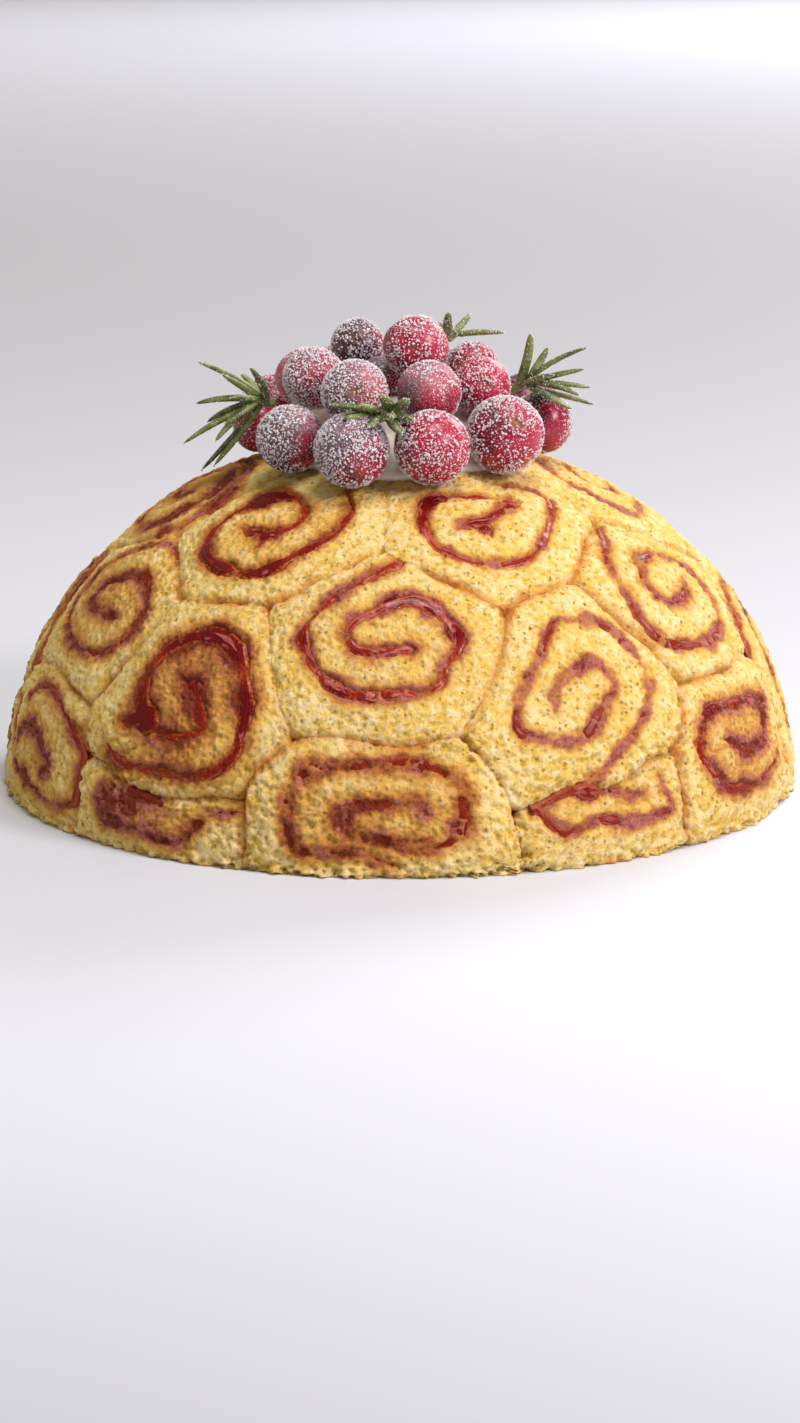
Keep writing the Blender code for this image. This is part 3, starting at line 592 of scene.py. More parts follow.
# Centre of a slice on the dome, and its sideways, upward and outward directions.
def sliceAxes(name):
    azimuth, lift = rollSlices[name][:2]
    centre = domeSpot(azimuth, lift)
    side = np.array([math.cos(math.radians(azimuth)), math.sin(math.radians(azimuth)), 0.0])
    out = outward(centre)
    return centre, side, np.cross(out, side), out


sliceAxesOf = {name: sliceAxes(name) for name in rollSlices}


# A point along and across the fold, turned by the tilt on the plane that touches the dome at
# the slice's centre, then slid onto the dome.
def layOn(name, along, across):
    centre, side, up, _ = sliceAxesOf[name]
    u, v = turned(along, across, math.radians(rollSlices[name][2]))
    return onDome(centre + u[..., None] * side + v[..., None] * up)


# How far points lie outside a slice's own roll: the distance to its fold less its size.
def pull(name, points):
    centre, side, up, out = sliceAxesOf[name]
    tilt, fold, size = rollSlices[name][2:]
    facing = points @ out
    flat = points * ((centre @ out) / np.maximum(facing, 1e-6))[..., None] - centre
    along, across = turned(flat @ side, flat @ up, -math.radians(tilt))
    gap = np.hypot(np.maximum(abs(along) - fold, 0.0), across) - size
    return np.where(facing > 0.25 * (centre @ out), gap, 1e3)


# Spots where neighbours were pressed together so firmly that their seam fades: azimuth, lift,
# how far it reaches and how fully it fades.
pressedSpots = [(-4, 63, 15, 1.0), (13, 7, 12, 0.9), (-19, 33, 9, 0.6), (-62, 53, 12, 0.6),
                (47, 62, 11, 0.6), (128, 24, 14, 0.8), (-128, 60, 14, 0.8), (170, 24, 12, 0.8)]


# How fully seams fade at points: the strongest of amount * exp(-(distance / reach)^2).
def pressed(points):
    faded = []
    for azimuth, lift, reach, amount in pressedSpots:
        gap = np.linalg.norm(points - domeSpot(azimuth, lift), axis=-1)
        faded.append(amount * np.exp(-(gap / reach) ** 2))
    return np.max(faded, axis=0)


# Broad unevenness of the dome, shared by the sponge and the jam that lies in it.
def lumps(points):
    return 0.40 * softNoise(points, 15.0, 54) + 0.20 * softNoise(points, 6.0, 55)


# Points moved a little by soft noise, alike for every slice that asks, so seams wander together.
def strayed(points):
    drift = np.stack([0.75 * softNoise(points, 17.0, 11 + k) + 0.25 * softNoise(points, 7.0, 21 + k)
                      for k in range(3)], -1)
    return points + slicing["wander"] * drift


# Reach of a slice in each direction, to where a neighbour or the plate stops it, with its
# corners rounded by taking the lesser of the reach and its own blurred copy.
def sliceOutline(name, angles):
    fold = rollSlices[name][3]
    centre = sliceAxesOf[name][0]
    others = [o for o in rollSlices
              if o != name and np.linalg.norm(sliceAxesOf[o][0] - centre) < slicing["meeting"]]
    steps = np.arange(0.0, 50.0, 0.4)
    turn, reach = np.meshgrid(angles, steps, indexing="ij")
    points = layOn(name, (fold + reach) * np.cos(turn), reach * np.sin(turn))
    moved = strayed(points)
    lead = pull(name, moved) - np.min([pull(o, moved) for o in others], axis=0)
    stops = []
    for level in (lead, -points[..., 2]):
        level = level.copy()
        level[:, -1] = 1.0
        first = np.argmax(level > 0, axis=1)
        row = np.arange(len(angles))
        before, after = level[row, first - 1], level[row, first]
        part = np.clip(-before / np.where(after - before == 0, 1, after - before), 0, 1)
        stops.append(steps[first - 1] + part * (steps[1] - steps[0]))
    edge, plate = stops
    spread = np.arange(-12, 13)
    weight = np.exp(-0.5 * (spread / slicing["cornerBlur"]) ** 2)
    blurred = sum(w * np.roll(edge, s) for w, s in zip(weight / weight.sum(), spread))
    edge = np.minimum(edge, blurred + 0.5) + slicing["squeeze"]
    corner = strayed(layOn(name, (fold + edge) * np.cos(angles), edge * np.sin(angles)))
    gaps = np.sort([pull(o, corner) for o in others], axis=0)
    pocket = np.exp(-((gaps[1] - gaps[0]) / slicing["pocket"]) ** 2)
    return np.minimum(edge, plate), plate <= edge, pocket


# Nearest distance from points to a set of points, both (n, 2), less an allowance for each.
def nearest(points, targets, allowance):
    best = np.full(len(points), 1e3)
    which = np.zeros(len(points), int)
    for start in range(0, len(points), 4000):
        part = points[start:start + 4000]
        gap = np.sqrt((part[:, None, 0] - targets[None, :, 0]) ** 2
                      + (part[:, None, 1] - targets[None, :, 1]) ** 2) - allowance
        which[start:start + 4000] = gap.argmin(axis=1)
        best[start:start + 4000] = gap.min(axis=1)
    return best, which


# A smooth line through spots (Catmull-Rom): on each stretch, half of 2b + (c - a) s +
# (2a - 5b + 4c - d) s^2 + (3b - a - 3c + d) s^3 for its four nearest spots a, b, c, d.
def smoothLine(spots, count=24):
    spots = np.array(spots, float)
    padded = np.concatenate([2 * spots[:1] - spots[1:2], spots, 2 * spots[-1:] - spots[-2:-1]])
    a, b, c, d = (padded[k:len(padded) - 3 + k, None, :] for k in range(4))
    s = (np.arange(count) / count)[None, :, None]
    line = 0.5 * (2 * b + (c - a) * s + (2 * a - 5 * b + 4 * c - d) * s ** 2
                  + (3 * b - a - 3 * c + d) * s ** 3)
    return np.concatenate([line.reshape(-1, spots.shape[1]), spots[-1:]])


# A wound line: distance out reach * (1 - exp(-(t / k)^2)) after t turns, running out past the
# last turn, its half width swollen where soft noise along it is high.
def woundLine(name, number):
    winds, leaves, turns, reach, fold = jamWindings[name][:5]
    t = np.arange(0.0, turns + 0.4, 0.0025)
    past = np.maximum(t - turns, 0.0)
    out = 0.9 + reach * (1 - np.exp(-(t / jam["tightness"]) ** 2)) + 50.0 * past ** 1.35
    tilt = math.radians(rollSlices[name][2])
    angle = math.radians(leaves) - tilt + winds * (t - turns) * 2 * math.pi
    u, v = turned((fold + out) * np.cos(angle), out * np.sin(angle), tilt)
    beads = np.stack([u, v, 0 * u + 40.0 * number], -1)
    sway = np.minimum(t / 0.4, 1.0)
    u = u + 2.2 * softNoise(beads, 11.0, 31) * sway
    v = v + 2.2 * softNoise(beads, 11.0, 32) * sway
    swell = jam["pool"] * smoothStep(0.15, 0.75, softNoise(beads, 9.0, 33))
    half = jam["thin"] + swell + 0.5 * np.exp(-(t / 0.35) ** 2)
    return np.stack([u, v, half], -1)


# Lines of jam of one slice as points along and across its fold with half widths, kept off the
# rim until they run out, spaced evenly and with their edges stirred by soft noise.
def jamCourses(name, rim, number):
    tilt = math.radians(rollSlices[name][2])
    edge = np.roll(rim, -1, axis=0) - np.roll(rim, 1, axis=0)
    inward = np.stack([-edge[:, 1], edge[:, 0]], -1) / np.linalg.norm(edge, axis=1)[:, None]
    drawn = name in jamLines
    lines = [smoothLine(line) for line in jamLines[name][3]] if drawn else [
        woundLine(name, number)]
    courses = []
    for line in lines:
        course = np.stack(turned(line[:, 0], line[:, 1], -tilt), -1)
        half = line[:, 2]
        which = nearest(course, rim, 0.0)[1]
        depth = np.sum((course - rim[which]) * inward[which], axis=1)
        leaving = smoothStep(0.93, 0.99, np.linspace(0, 1, len(course)))
        keep = jam["drawnFromRim" if drawn else "fromRim"] * (1 - leaving)
        course = course + inward[which] * np.maximum(keep - depth, 0.0)[:, None]
        inside = np.flatnonzero((leaving > 0.5) & (depth < 0.1))
        if len(inside):
            course, half = course[:inside[0] + 1], half[:inside[0] + 1]
        for _ in range(jam["evened"]):
            course[1:-1] = (course[:-2] + 2 * course[1:-1] + course[2:]) / 4
        run = np.concatenate([[0], np.cumsum(np.linalg.norm(np.diff(course, axis=0), axis=1))])
        even = np.arange(0, run[-1], jam["step"])
        course = np.stack([np.interp(even, run, course[:, k]) for k in (0, 1)], -1)
        half = np.interp(even, run, half)
        beads = np.concatenate([course, np.full((len(course), 1), 60.0 * number)], 1)
        half = half * (1 + 0.34 * softNoise(beads, 5.0, 41) + 0.26 * softNoise(beads, 2.2, 42))
        ends = np.minimum(np.minimum(even, even[-1] - even) / 2.5 + 0.25, 1.0)
        courses.append((course, np.maximum(half, 0.3) * ends))
    return courses


# Crumbs on a face: soft bumps and pebbles, rougher low down and where the rim is torn, with
# pores sunk in them. Gives their height and how deep in a pore or hollow each point lies, the
# mask for painted shade there.
def crumbRelief(base, rimGap):
    low = smoothStep(46.0, 16.0, base[..., 2])
    torn = smoothStep(0.0, 0.45, softNoise(base, 14.0, 65)) * smoothStep(4.5, 1.0, rimGap)
    rough = 0.85 + (0.3 + 0.5 * smoothStep(3.5, 0.5, rimGap) + 2.0 * torn) * low
    rough = rough + 0.8 * smoothStep(5.0, 0.5, base[..., 2])
    pores = np.maximum(smoothStep(0.48, 0.16, poreGap(base, 2.3, 51)),
                       0.8 * smoothStep(0.55, 0.20, poreGap(base, 1.6, 45)))
    pebbles = 0.55 - poreGap(base, 2.1, 50)
    crumbs = 0.22 * softNoise(base, 1.6, 52) + 0.26 * softNoise(base, 3.0, 53) + 0.62 * pebbles
    return rough * (crumbs - 0.50 * pores + 0.14), pores - 1.1 * pebbles


# How far jam has soaked in: it falls as exp(-gap / reach) beside the jam, gathers round the
# fold of a soaked slice and is blotched by soft noise.
def jamStain(base, jamGap, middle, soak, wet):
    stray = (jamGap - 0.1 + 0.9 * softNoise(base, 3.0, 47) + 0.45 * softNoise(base, 1.1, 48)
             - (0.2 + 1.2 * soak) * softNoise(base, 6.5, 57))
    stain = (0.72 + 0.38 * soak) * np.exp(-np.maximum(stray, 0) / (0.55 + 1.45 * soak))
    stain = stain + 0.50 * soak ** 2 * middle * (1 + 0.6 * softNoise(base, 5.0, 49))
    blotches = softNoise(base, 4.0, 42) * smoothStep(1.2, -0.2, jamGap)
    return stain + 0.40 * (1 - 0.5 * wet) * blotches


# One slice: rings from the fold out to the rim, then its cut side and its back, closed. The
# face stands proud of the dome by puff * (1 - exp(-gap / reach)) between jam lines, dips under
# the jam, falls away at the rim by drop * (1 - gap / width)^curve and is broken up by crumbs.
def bakeSlice(name, number):
    fold, size = rollSlices[name][3:]
    soak, rosyAndSheen, wet = jamLines[name][:3] if name in jamLines else jamWindings[name][5:]
    wider = 1.0 if name in jamLines else slicing["behind"]
    columns = 2 * int(round(math.pi * (size + 3 + 0.6 * fold) / slicing["edgeStep"] / wider))
    angles = np.arange(columns) / columns * 2 * math.pi
    limit, onPlate, pocket = sliceOutline(name, angles)
    rows = int(round((size + 3) / slicing["faceStep"] / wider))
    part = 1 - (1 - np.arange(rows + 1) / rows) ** slicing["gather"]
    reach = part[:, None] * limit
    along, across = (fold + reach) * np.cos(angles), reach * np.sin(angles)
    rim = np.stack([along[-1], across[-1]], -1)
    courses = [(c, w * (0.72 + 0.28 * wet)) for c, w in jamCourses(name, rim, number)]
    flat = np.stack([along.reshape(-1), across.reshape(-1)], -1)
    jamGap = nearest(flat, np.concatenate([c for c, _ in courses]),
                     np.concatenate([w for _, w in courses]))[0].reshape(along.shape)
    rimGap, closest = nearest(flat, rim, np.where(onPlate, -1.4, 0.0))
    rimGap, pocket = rimGap.reshape(along.shape), pocket[closest].reshape(along.shape)
    rimGap[-1] = np.where(onPlate, 1.4, 0.0)

    base = layOn(name, along, across)
    puffed = slicing["puff"] * (1 - np.exp(-np.maximum(jamGap, 0) / slicing["puffReach"]))
    bulge = slicing["belly"] * smoothStep(slicing["bellyReach"], 0.0, rimGap)
    rounded = np.clip(rimGap / slicing["rimWidth"], 0, 1)
    faded = pressed(base)
    closed = (0.65 + 0.65 * softNoise(base, 9.0, 60)) * (1 - 0.85 * faded) + 1.1 * pocket
    drop = slicing["rimDrop"] * closed * (1 - rounded) ** slicing["rimCurve"]
    ragged = jamGap - 0.1 + 0.45 * softNoise(base, 1.4, 58) + 0.50 * softNoise(base, 2.6, 59)
    laid = softNoise(base, 4.5, 43) + 0.5 * softNoise(base, 1.6, 44) + 1.6 * (wet - 0.5)
    laid = smoothStep(-0.22, 0.18, laid)
    channel = jam["bite"] * smoothStep(0.35, -0.45, ragged) * laid
    crumbs, shadeInHollows = crumbRelief(base, rimGap)
    crumbs = crumbs * (1 - 0.55 * smoothStep(0.3, -0.5, ragged) * laid)
    height = puffed - bulge - slicing["trim"] - drop - channel + crumbs + lumps(base)
    face = base + outward(base) * height[..., None]

    rimPoints = layOn(name, along[-1], across[-1])
    out = outward(rimPoints)
    walls = []
    for depth in slicing["sideRings"]:
        dent = 0.14 * softNoise(rimPoints - out * depth, 2.2, 56)
        pulled = layOn(name, along[-1] * (1 - 0.01 * depth / slicing["thickness"]), across[-1])
        walls.append(pulled - out * (depth - height[-1] - 0.2 + dent)[:, None])
    for share in slicing["backRings"]:
        back = layOn(name, (fold + limit * share) * np.cos(angles), limit * share * np.sin(angles))
        walls.append(back - outward(back) * (slicing["thickness"] + slicing["backDrop"]))

    rings = np.concatenate([face.reshape(-1, 3)] + walls)
    rings[:, 2] = np.maximum(rings[:, 2], 0.02)
    total = rows + 1 + len(walls)
    faces = gridFaces(total, columns)
    # the first and last ring lie on the fold, where angle a and -a are the same point
    mirror = (columns - np.arange(columns)) % columns
    keep = np.minimum(np.arange(columns), mirror)
    remapped = np.arange(total * columns)
    remapped[:columns] = keep
    remapped[-columns:] = (total - 1) * columns + keep
    faces = remapped[faces]
    used, faces = np.unique(faces, return_inverse=True)
    faces = faces.reshape(-1, 4)

    def overAll(values, rest):
        return np.concatenate([values.reshape(-1), np.full(len(walls) * columns, rest)])[used]

    middle = np.exp(-(reach / (0.62 * size)) ** 4)
    # The pore-shade mark sets painted shade in the pores and hollows.
    marks = {"rimGap": overAll(rimGap - 2.4 * pocket + 3.0 * faded, -0.5),
             "stain": overAll(jamStain(base, jamGap, middle, soak, wet), 0.0),
             "rosyAndSheen": overAll(0 * rimGap + rosyAndSheen, rosyAndSheen), "poreShade": overAll(shadeInHollows, 0.5)}
    putPiece(name + "_sponge", rings[used], splitQuads(faces, columns), finishes["sponge"],
             [name], marks)
    spreadJam(name, courses, number, rosyAndSheen, wet)


# The quads next to the two folds become triangles, (a, c, b) and (a, d, c), so that no edge
# there is shared by four faces; the rest are turned to face outwards.
def splitQuads(faces, columns):
    ends = np.concatenate([faces[:columns], faces[-columns:]])
    triangles = np.concatenate([ends[:, [0, 2, 1]], ends[:, [0, 3, 2]]])
    return [faces[columns:-columns, ::-1], triangles]


# Lines of jam: a strip carried along each course, its top a flat arch, 1 - |side|^4, that
# ripples, its edges diving under the crumbs, its ends closed. Thin stretches lie deeper.
def spreadJam(name, courses, number, rosyAndSheen, wet):
    bar = np.array([-1, -0.9, -0.68, -0.42, -0.14, 0.14, 0.42, 0.68, 0.9, 1, 0.5, -0.5])
    under = np.array([0, 0, 0, 0, 0, 0, 0, 0, 0, 0, 1, 1])
    arch = np.maximum(1 - abs(bar) ** 4, 0) * (1 - under)
    points, quads, triangles, thick, inset, side, run = [], [], [], [], [], [], []
    first = 0
    for course, half in courses:
        width = half + jam["under"]
        ahead = np.gradient(course, axis=0)
        ahead /= np.linalg.norm(ahead, axis=1)[:, None] + 1e-9
        left = np.stack([-ahead[:, 1], ahead[:, 0]], -1)
        beads = np.concatenate([course, np.full((len(course), 1), 80.0 * number)], 1)
        wobble = [0.22 * softNoise(beads, 1.9, seed) for seed in (61, 62)]
        edge = np.where(bar[None, :] > 0, wobble[0][:, None], wobble[1][:, None])
        offset = bar[None, :] * (width[:, None] + edge)
        spots = course[:, None, :] + left[:, None, :] * offset[..., None]
        base = layOn(name, spots[..., 0], spots[..., 1])
        full = smoothStep(0.3, 2.2, half)[:, None]
        crown = (0.75 + 0.40 * full) * arch[None, :] - 0.75
        ripple = (0.20 * softNoise(base, 2.8, 63) + 0.12 * softNoise(base, 1.2, 64)) * arch
        thin = -0.50 * smoothStep(1.25, 0.4, half)[:, None]
        level = jam["level"] - 0.5 * (1 - wet) - slicing["trim"]
        height = lumps(base) + np.where(under > 0, -jam["depth"], level + thin + crown + ripple)
        shape = base + outward(base) * height[..., None]
        shape[..., 2] = np.maximum(shape[..., 2], 0.03)
        count, across = shape.shape[:2]
        size = count * across
        points += [shape.reshape(-1, 3), shape[:1].mean(axis=1), shape[-1:].mean(axis=1)]
        quads.append(gridFaces(count, across)[:, ::-1] + first)
        triangles += [fan(size, 0, across) + first,
                      fan(size + 1, size - across, across, True) + first]
        thick += [np.repeat(half, across), half[[0, -1]]]
        inset += [(half[:, None] - abs(offset) - 3 * under).reshape(-1), [-1.0, -1.0]]
        side += [offset.reshape(-1) + 11.0 * number, [11.0 * number] * 2]
        run += [np.repeat(np.arange(count) * jam["step"], across), [0, count * jam["step"]]]
        first += size + 2
    thick = np.concatenate(thick)
    marks = {"thick": thick, "inset": np.concatenate(inset), "side": np.concatenate(side),
             "run": np.concatenate(run),
             "rosyAndSheen": np.full(len(thick), rosyAndSheen), "wet": np.full(len(thick), wet)}
    putPiece(name + "_jam", np.concatenate(points),
             [np.concatenate(quads), np.concatenate(triangles)], finishes["jam"], (),
             marks)


for number, name in enumerate(rollSlices):
    bakeSlice(name, number)
print("slices and jam laid")


# --- cream, cranberries and sugar ---

berries = {
    # how ripe each cranberry on the shown side is, from 0 red to 1 near black, and its frost
    "shown": [(0.15, 0.5), (0.75, 0.9), (0.65, 0.9), (0.2, 0.55), (0.35, 0.6), (0.5, 0.5),
              (0.35, 0.8), (0.55, 0.95), (0.45, 0.85), (0.2, 0.55), (0.95, 0.75), (0.2, 0.6),
              (0.8, 0.8), (0.3, 0.6), (0.7, 0.7)],
    "rings": 26,
    "corners": 40,
    "dent": 0.035,           # how uneven the fruit is, as a share of its radius
    "inside": 0.985,         # its radius as a share of its solid's
    "starEvery": 3,          # every so manyth cranberry shows its blossom end
}
berryNames = sorted(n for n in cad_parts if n.startswith("cranberry_"))


# Centre and radius of a CAD cranberry, from its corners.
def berryPlace(name):
    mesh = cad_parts[name].data
    points = np.zeros(len(mesh.vertices) * 3)
    mesh.vertices.foreach_get("co", points)
    points = np.unique(points.reshape(-1, 3).round(7), axis=0) / mm
    centre = (points.min(axis=0) + points.max(axis=0)) / 2
    return centre, float(np.linalg.norm(points - centre, axis=1).max())


berryPlaces = {name: berryPlace(name) for name in berryNames}


# A turn that carries +Z to a direction, and two directions square to it.
def turnTo(direction):
    direction = direction / np.linalg.norm(direction)
    guide = np.array([0.0, 0.0, 1.0]) if abs(direction[2]) < 0.9 else np.array([1.0, 0.0, 0.0])
    first = np.cross(guide, direction)
    first /= np.linalg.norm(first)
    return np.stack([first, np.cross(direction, first), direction], -1)


# A cranberry: a slightly long ball, radius * (1 + dents), with a dimple at its blossom end
# that falls as exp(-(polar / 0.22)^2) and, on some, a low star of five points round it.
def growBerry(name, number):
    centre, radius = berryPlaces[name]
    draw = np.random.default_rng(500 + number)
    ripe, frost = berries["shown"][number] if number < len(berries["shown"]) else (
        draw.uniform(0.1, 0.9), draw.uniform(0.5, 0.95))
    polar = np.linspace(0, math.pi, berries["rings"] + 2)[1:-1]
    turn = np.arange(berries["corners"]) / berries["corners"] * 2 * math.pi
    p, t = np.meshgrid(polar, turn, indexing="ij")
    unit = np.stack([np.sin(p) * np.cos(t), np.sin(p) * np.sin(t), np.cos(p)], -1)
    unit = np.concatenate([[[0, 0, 1.0]], unit.reshape(-1, 3), [[0, 0, -1.0]]])
    tip = np.arccos(np.clip(unit[:, 2], -1, 1))
    star = number % berries["starEvery"] == 1
    swirl = np.cos(5 * np.arctan2(unit[:, 1], unit[:, 0]))
    dimple = 0.10 * np.exp(-(tip / 0.20) ** 2) - (0.045 * (0.6 + 0.4 * swirl)
             * np.exp(-((tip - 0.24) / 0.09) ** 2) if star else 0)
    dents = berries["dent"] * (softNoise(unit + number * 7.0, 0.9, 71)
                               + 0.4 * softNoise(unit + number * 7.0, 0.35, 72))
    shape = unit * (1 + dents - dimple)[:, None] * draw.uniform(0.945, 1.035, 3)
    lean = draw.normal(size=3)
    lean[2] = abs(lean[2]) * 0.3
    if star:
        lean = np.array([draw.uniform(-0.5, 0.5), -1.0, draw.uniform(0.1, 0.6)])
    points = centre + radius * berries["inside"] * shape @ turnTo(lean).T
    count = berries["corners"]
    faces = gridFaces(berries["rings"], count) + 1
    last = 1 + (berries["rings"] - 1) * count
    caps = np.concatenate([fan(0, 1, count), fan(len(points) - 1, last, count, True)])
    blossom = np.exp(-(tip / 0.17) ** 2) * (1.0 if star else 0.5)
    facing = (points - centre) / radius
    # Painted shade and light: the ripe mark is raised on the side facing left, so the skin is
    # painted darker there, and lowered on the right, so it is painted redder there.
    shaded = facing @ np.array([-0.85, 0.2, 0.1])
    dusted = frost * (0.85 + 0.3 * facing @ np.array([-0.5, -0.1, 0.85]))
    marks = {"ripe": ripe + 0.38 * shaded, "frost": dusted, "blossom": blossom}
    putPiece(name.replace("cranberry", "sugared_cranberry"), points, [faces[:, ::-1], caps],
             finishes["berry"], [name], marks)
    return frost


frosts = [growBerry(name, number) for number, name in enumerate(berryNames)]
print("cranberries grown")

creamDollop = {
    "rings": 70,
    "corners": 168,
    "edge": 33.0,            # out to where it meets the sponge
    "crown": 12.2,           # height over the dome at the middle
    "lip": 4.5,              # how far in from the edge it rolls down
    "clear": 0.2,            # how far it keeps below each cranberry
}


# Height of the cream over the dome at a distance d out along its lobes: a hump, 2.8 + 9 (1 -
# (d / 31)^2)^0.8, with a low peak, rolling down as a quarter circle to 0.25 at its edge.
def creamHeight(out):
    hump = 2.8 + 9.0 * np.maximum(0.0, 1 - (out / 31.0) ** 2) ** 0.8
    hump = np.where(out < 3, hump + 0.4 * (1 - out / 3), hump)
    lip = np.clip((creamDollop["edge"] - out) / creamDollop["lip"], 0, 1)
    return 0.25 + (hump - 0.25) * np.sqrt(1 - (1 - lip) ** 2)


# The dollop: rings over the dome, dished clear of each cranberry, and a plain underside.
def spreadCream():
    count = creamDollop["corners"]
    turn = np.arange(count) / count * 2 * math.pi
    lobes = 1 + 0.03 * np.sin(5 * turn + 2.0) + 0.08 * np.exp(2.5 * (np.cos(turn - 0.2) - 1))
    rings = np.linspace(0, 1, creamDollop["rings"] + 1)[1:] ** 0.8 * creamDollop["edge"]
    layers = []
    for top in (True, False):
        for ring in (rings if top else rings[::6][::-1]):
            out = ring * lobes
            foot = np.stack([out * np.sin(turn), -out * np.cos(turn), 0 * turn], -1)
            foot[:, 2] = dome["height"] * np.sqrt(1 - (out / dome["radius"]) ** 2)
            if top:
                swell = 0.5 * softNoise(foot, 9.0, 81) + 0.2 * softNoise(foot, 3.5, 82)
                high = foot + outward(foot) * (creamHeight(ring) + swell * min(1, ring / 6)
                                               * float(ring < creamDollop["edge"] - 2))[:, None]
                for centre, radius in berryPlaces.values():
                    away = np.hypot(high[:, 0] - centre[0], high[:, 1] - centre[1])
                    dish = radius + creamDollop["clear"]
                    under = centre[2] - np.sqrt(np.maximum(dish ** 2 - away ** 2, 0))
                    inside = (away < dish) & (high[:, 2] > under)
                    high[:, 2] = np.where(inside, under, high[:, 2])
                layers.append(high)
            else:
                layers.append(foot - outward(foot) * 1.2)
    points = np.concatenate(layers)
    total = len(layers)
    faces = gridFaces(total, count)
    crown = np.array([0, 0, dome["height"] + creamDollop["crown"] - 1.0])
    ends = [crown, np.array([0, 0, dome["height"] - 1.2])]
    tips = len(points) + np.arange(2)
    caps = np.concatenate([fan(tips[0], 0, count), fan(tips[1], (total - 1) * count, count, True)])
    putPiece("cream_dollop", np.concatenate([points, ends]), [faces[:, ::-1], caps],
             finishes["cream"], ["cream"])


spreadCream()

sugar = {
    "coarse": (24500, 0.21, 0.38),   # grains, and least and greatest half width
    "fine": (24500, 0.13, 0.21),
}


# Grains of sugar: double pyramids joined in one mesh, each turned at random.
def grains(name, spots, sizes, draw):
    corners = np.array([[1, 0, 0], [0, 1, 0], [-1, 0, 0], [0, -1, 0], [0, 0, 1], [0, 0, -1]])
    sides = np.array([[0, 1, 4], [1, 2, 4], [2, 3, 4], [3, 0, 4],
                      [1, 0, 5], [2, 1, 5], [3, 2, 5], [0, 3, 5]])
    spin = draw.normal(size=(len(spots), 4))
    w, x, y, z = (spin / np.linalg.norm(spin, axis=1)[:, None]).T
    turn = np.stack([
        np.stack([1 - 2 * (y * y + z * z), 2 * (x * y - z * w), 2 * (x * z + y * w)], -1),
        np.stack([2 * (x * y + z * w), 1 - 2 * (x * x + z * z), 2 * (y * z - x * w)], -1),
        np.stack([2 * (x * z - y * w), 2 * (y * z + x * w), 1 - 2 * (x * x + y * y)], -1)], 1)
    stretch = draw.uniform(0.75, 1.3, (len(spots), 1, 3))
    shape = corners[None] * stretch * sizes[:, None, None]
    points = spots[:, None, :] + np.einsum("nij,nkj->nki", turn, shape)
    faces = (sides[None] + np.arange(len(spots))[:, None, None] * 6).reshape(-1, 3)
    putPiece(name, points.reshape(-1, 3), [faces], finishes["sugar"], (), None, False)


# Spots on the cranberries: even over each ball, kept by its frost and by patches of soft
# noise, more on top, and none inside another cranberry.
def sugarSpots(count, draw):
    centres = np.array([berryPlaces[n][0] for n in berryNames])
    radii = np.array([berryPlaces[n][1] for n in berryNames])
    which = draw.choice(len(radii), size=count * 5, p=radii ** 2 / np.sum(radii ** 2))
    unit = draw.normal(size=(count * 5, 3))
    unit /= np.linalg.norm(unit, axis=1)[:, None]
    spots = centres[which] + unit * (radii[which] * berries["inside"] + 0.02)[:, None]
    inside = np.zeros(len(spots), bool)
    for number, (centre, radius) in enumerate(zip(centres, radii)):
        inside |= (np.linalg.norm(spots - centre, axis=1) < radius * 0.99) & (which != number)
    patches = (0.62 + 0.65 * softNoise(spots, 5.5, 91) + 0.45 * softNoise(spots, 2.0, 92)
               + 0.35 * unit @ np.array([-0.5, -0.1, 0.85]))
    chance = np.clip(patches * np.array(frosts)[which] + 0.12, 0.05, 1)
    kept = ~inside & (draw.random(len(spots)) < chance)
    return spots[kept][:count]


for kind, (count, least, greatest) in sugar.items():
    draw = np.random.default_rng(len(kind) * 77)
    spots = sugarSpots(count, draw)
    grains("sugar_" + kind, spots, draw.uniform(least, greatest, len(spots)), draw)
print("cream and sugar laid")


# --- rosemary ---

# Where each sprig leaves the heap, the end of its stem, how broad its needles are and the
# tips they reach.
sprigs = {
    "rosemary_left": ((-32.0, -9.0, 98.2), (-36.5, -11.5, 99.5), 1.2, [
        (-50.6, -15, 109.5), (-37.4, -18, 108.6), (-44.5, -16, 106.6), (-54.8, -12, 88.4),
        (-50.5, -8, 81.0), (-47.0, -13, 83.0), (-40.5, -3, 105.0), (-46.5, -15, 89.5),
        (-42.5, -19, 101.0), (-49.0, -6, 93.0), (-44.0, -17, 94.0), (-51.5, -11, 98.5)]),
    "rosemary_right": ((28.4, -7.5, 101.6), (33.4, -11.5, 104.4), 1.1, [
        (32.6, -17, 117.0), (46.9, -15, 113.2), (48.9, -12, 98.4), (46.4, -11, 107.2),
        (43.2, -17, 97.9), (37.5, -5, 112.0), (48.0, -14, 103.0), (45.0, -18, 101.5),
        (38.5, -17, 106.5)]),
    "rosemary_back": ((12.2, 1.2, 113.4), (14.4, 0.2, 115.6), 1.1, [
        (12.4, -5, 120.8), (26.5, -3, 115.4), (18.0, 8, 118.8), (6.0, 8, 118.0)]),
    "rosemary_front": ((-1.8, -33.5, 98.6), (-2.2, -40.5, 99.8), 1.45, [
        (-17.0, -44.0, 103.0), (-4.6, -46.6, 105.6), (3.4, -47.6, 99.8), (-14.0, -47.0, 100.0),
        (1.6, -46.0, 104.6), (-9.5, -47.5, 103.4), (0.6, -49.0, 96.4), (-7.4, -48.8, 98.2),
        (-1.6, -49.4, 100.6)]),
}
needle = {
    "width": 1.15,           # half its width at the widest
    "thickness": 0.72,
    "stem": 1.15,
    "rings": 22,
    "sides": 12,
    "bow": 0.10,             # how far it bends, as a share of its length
}


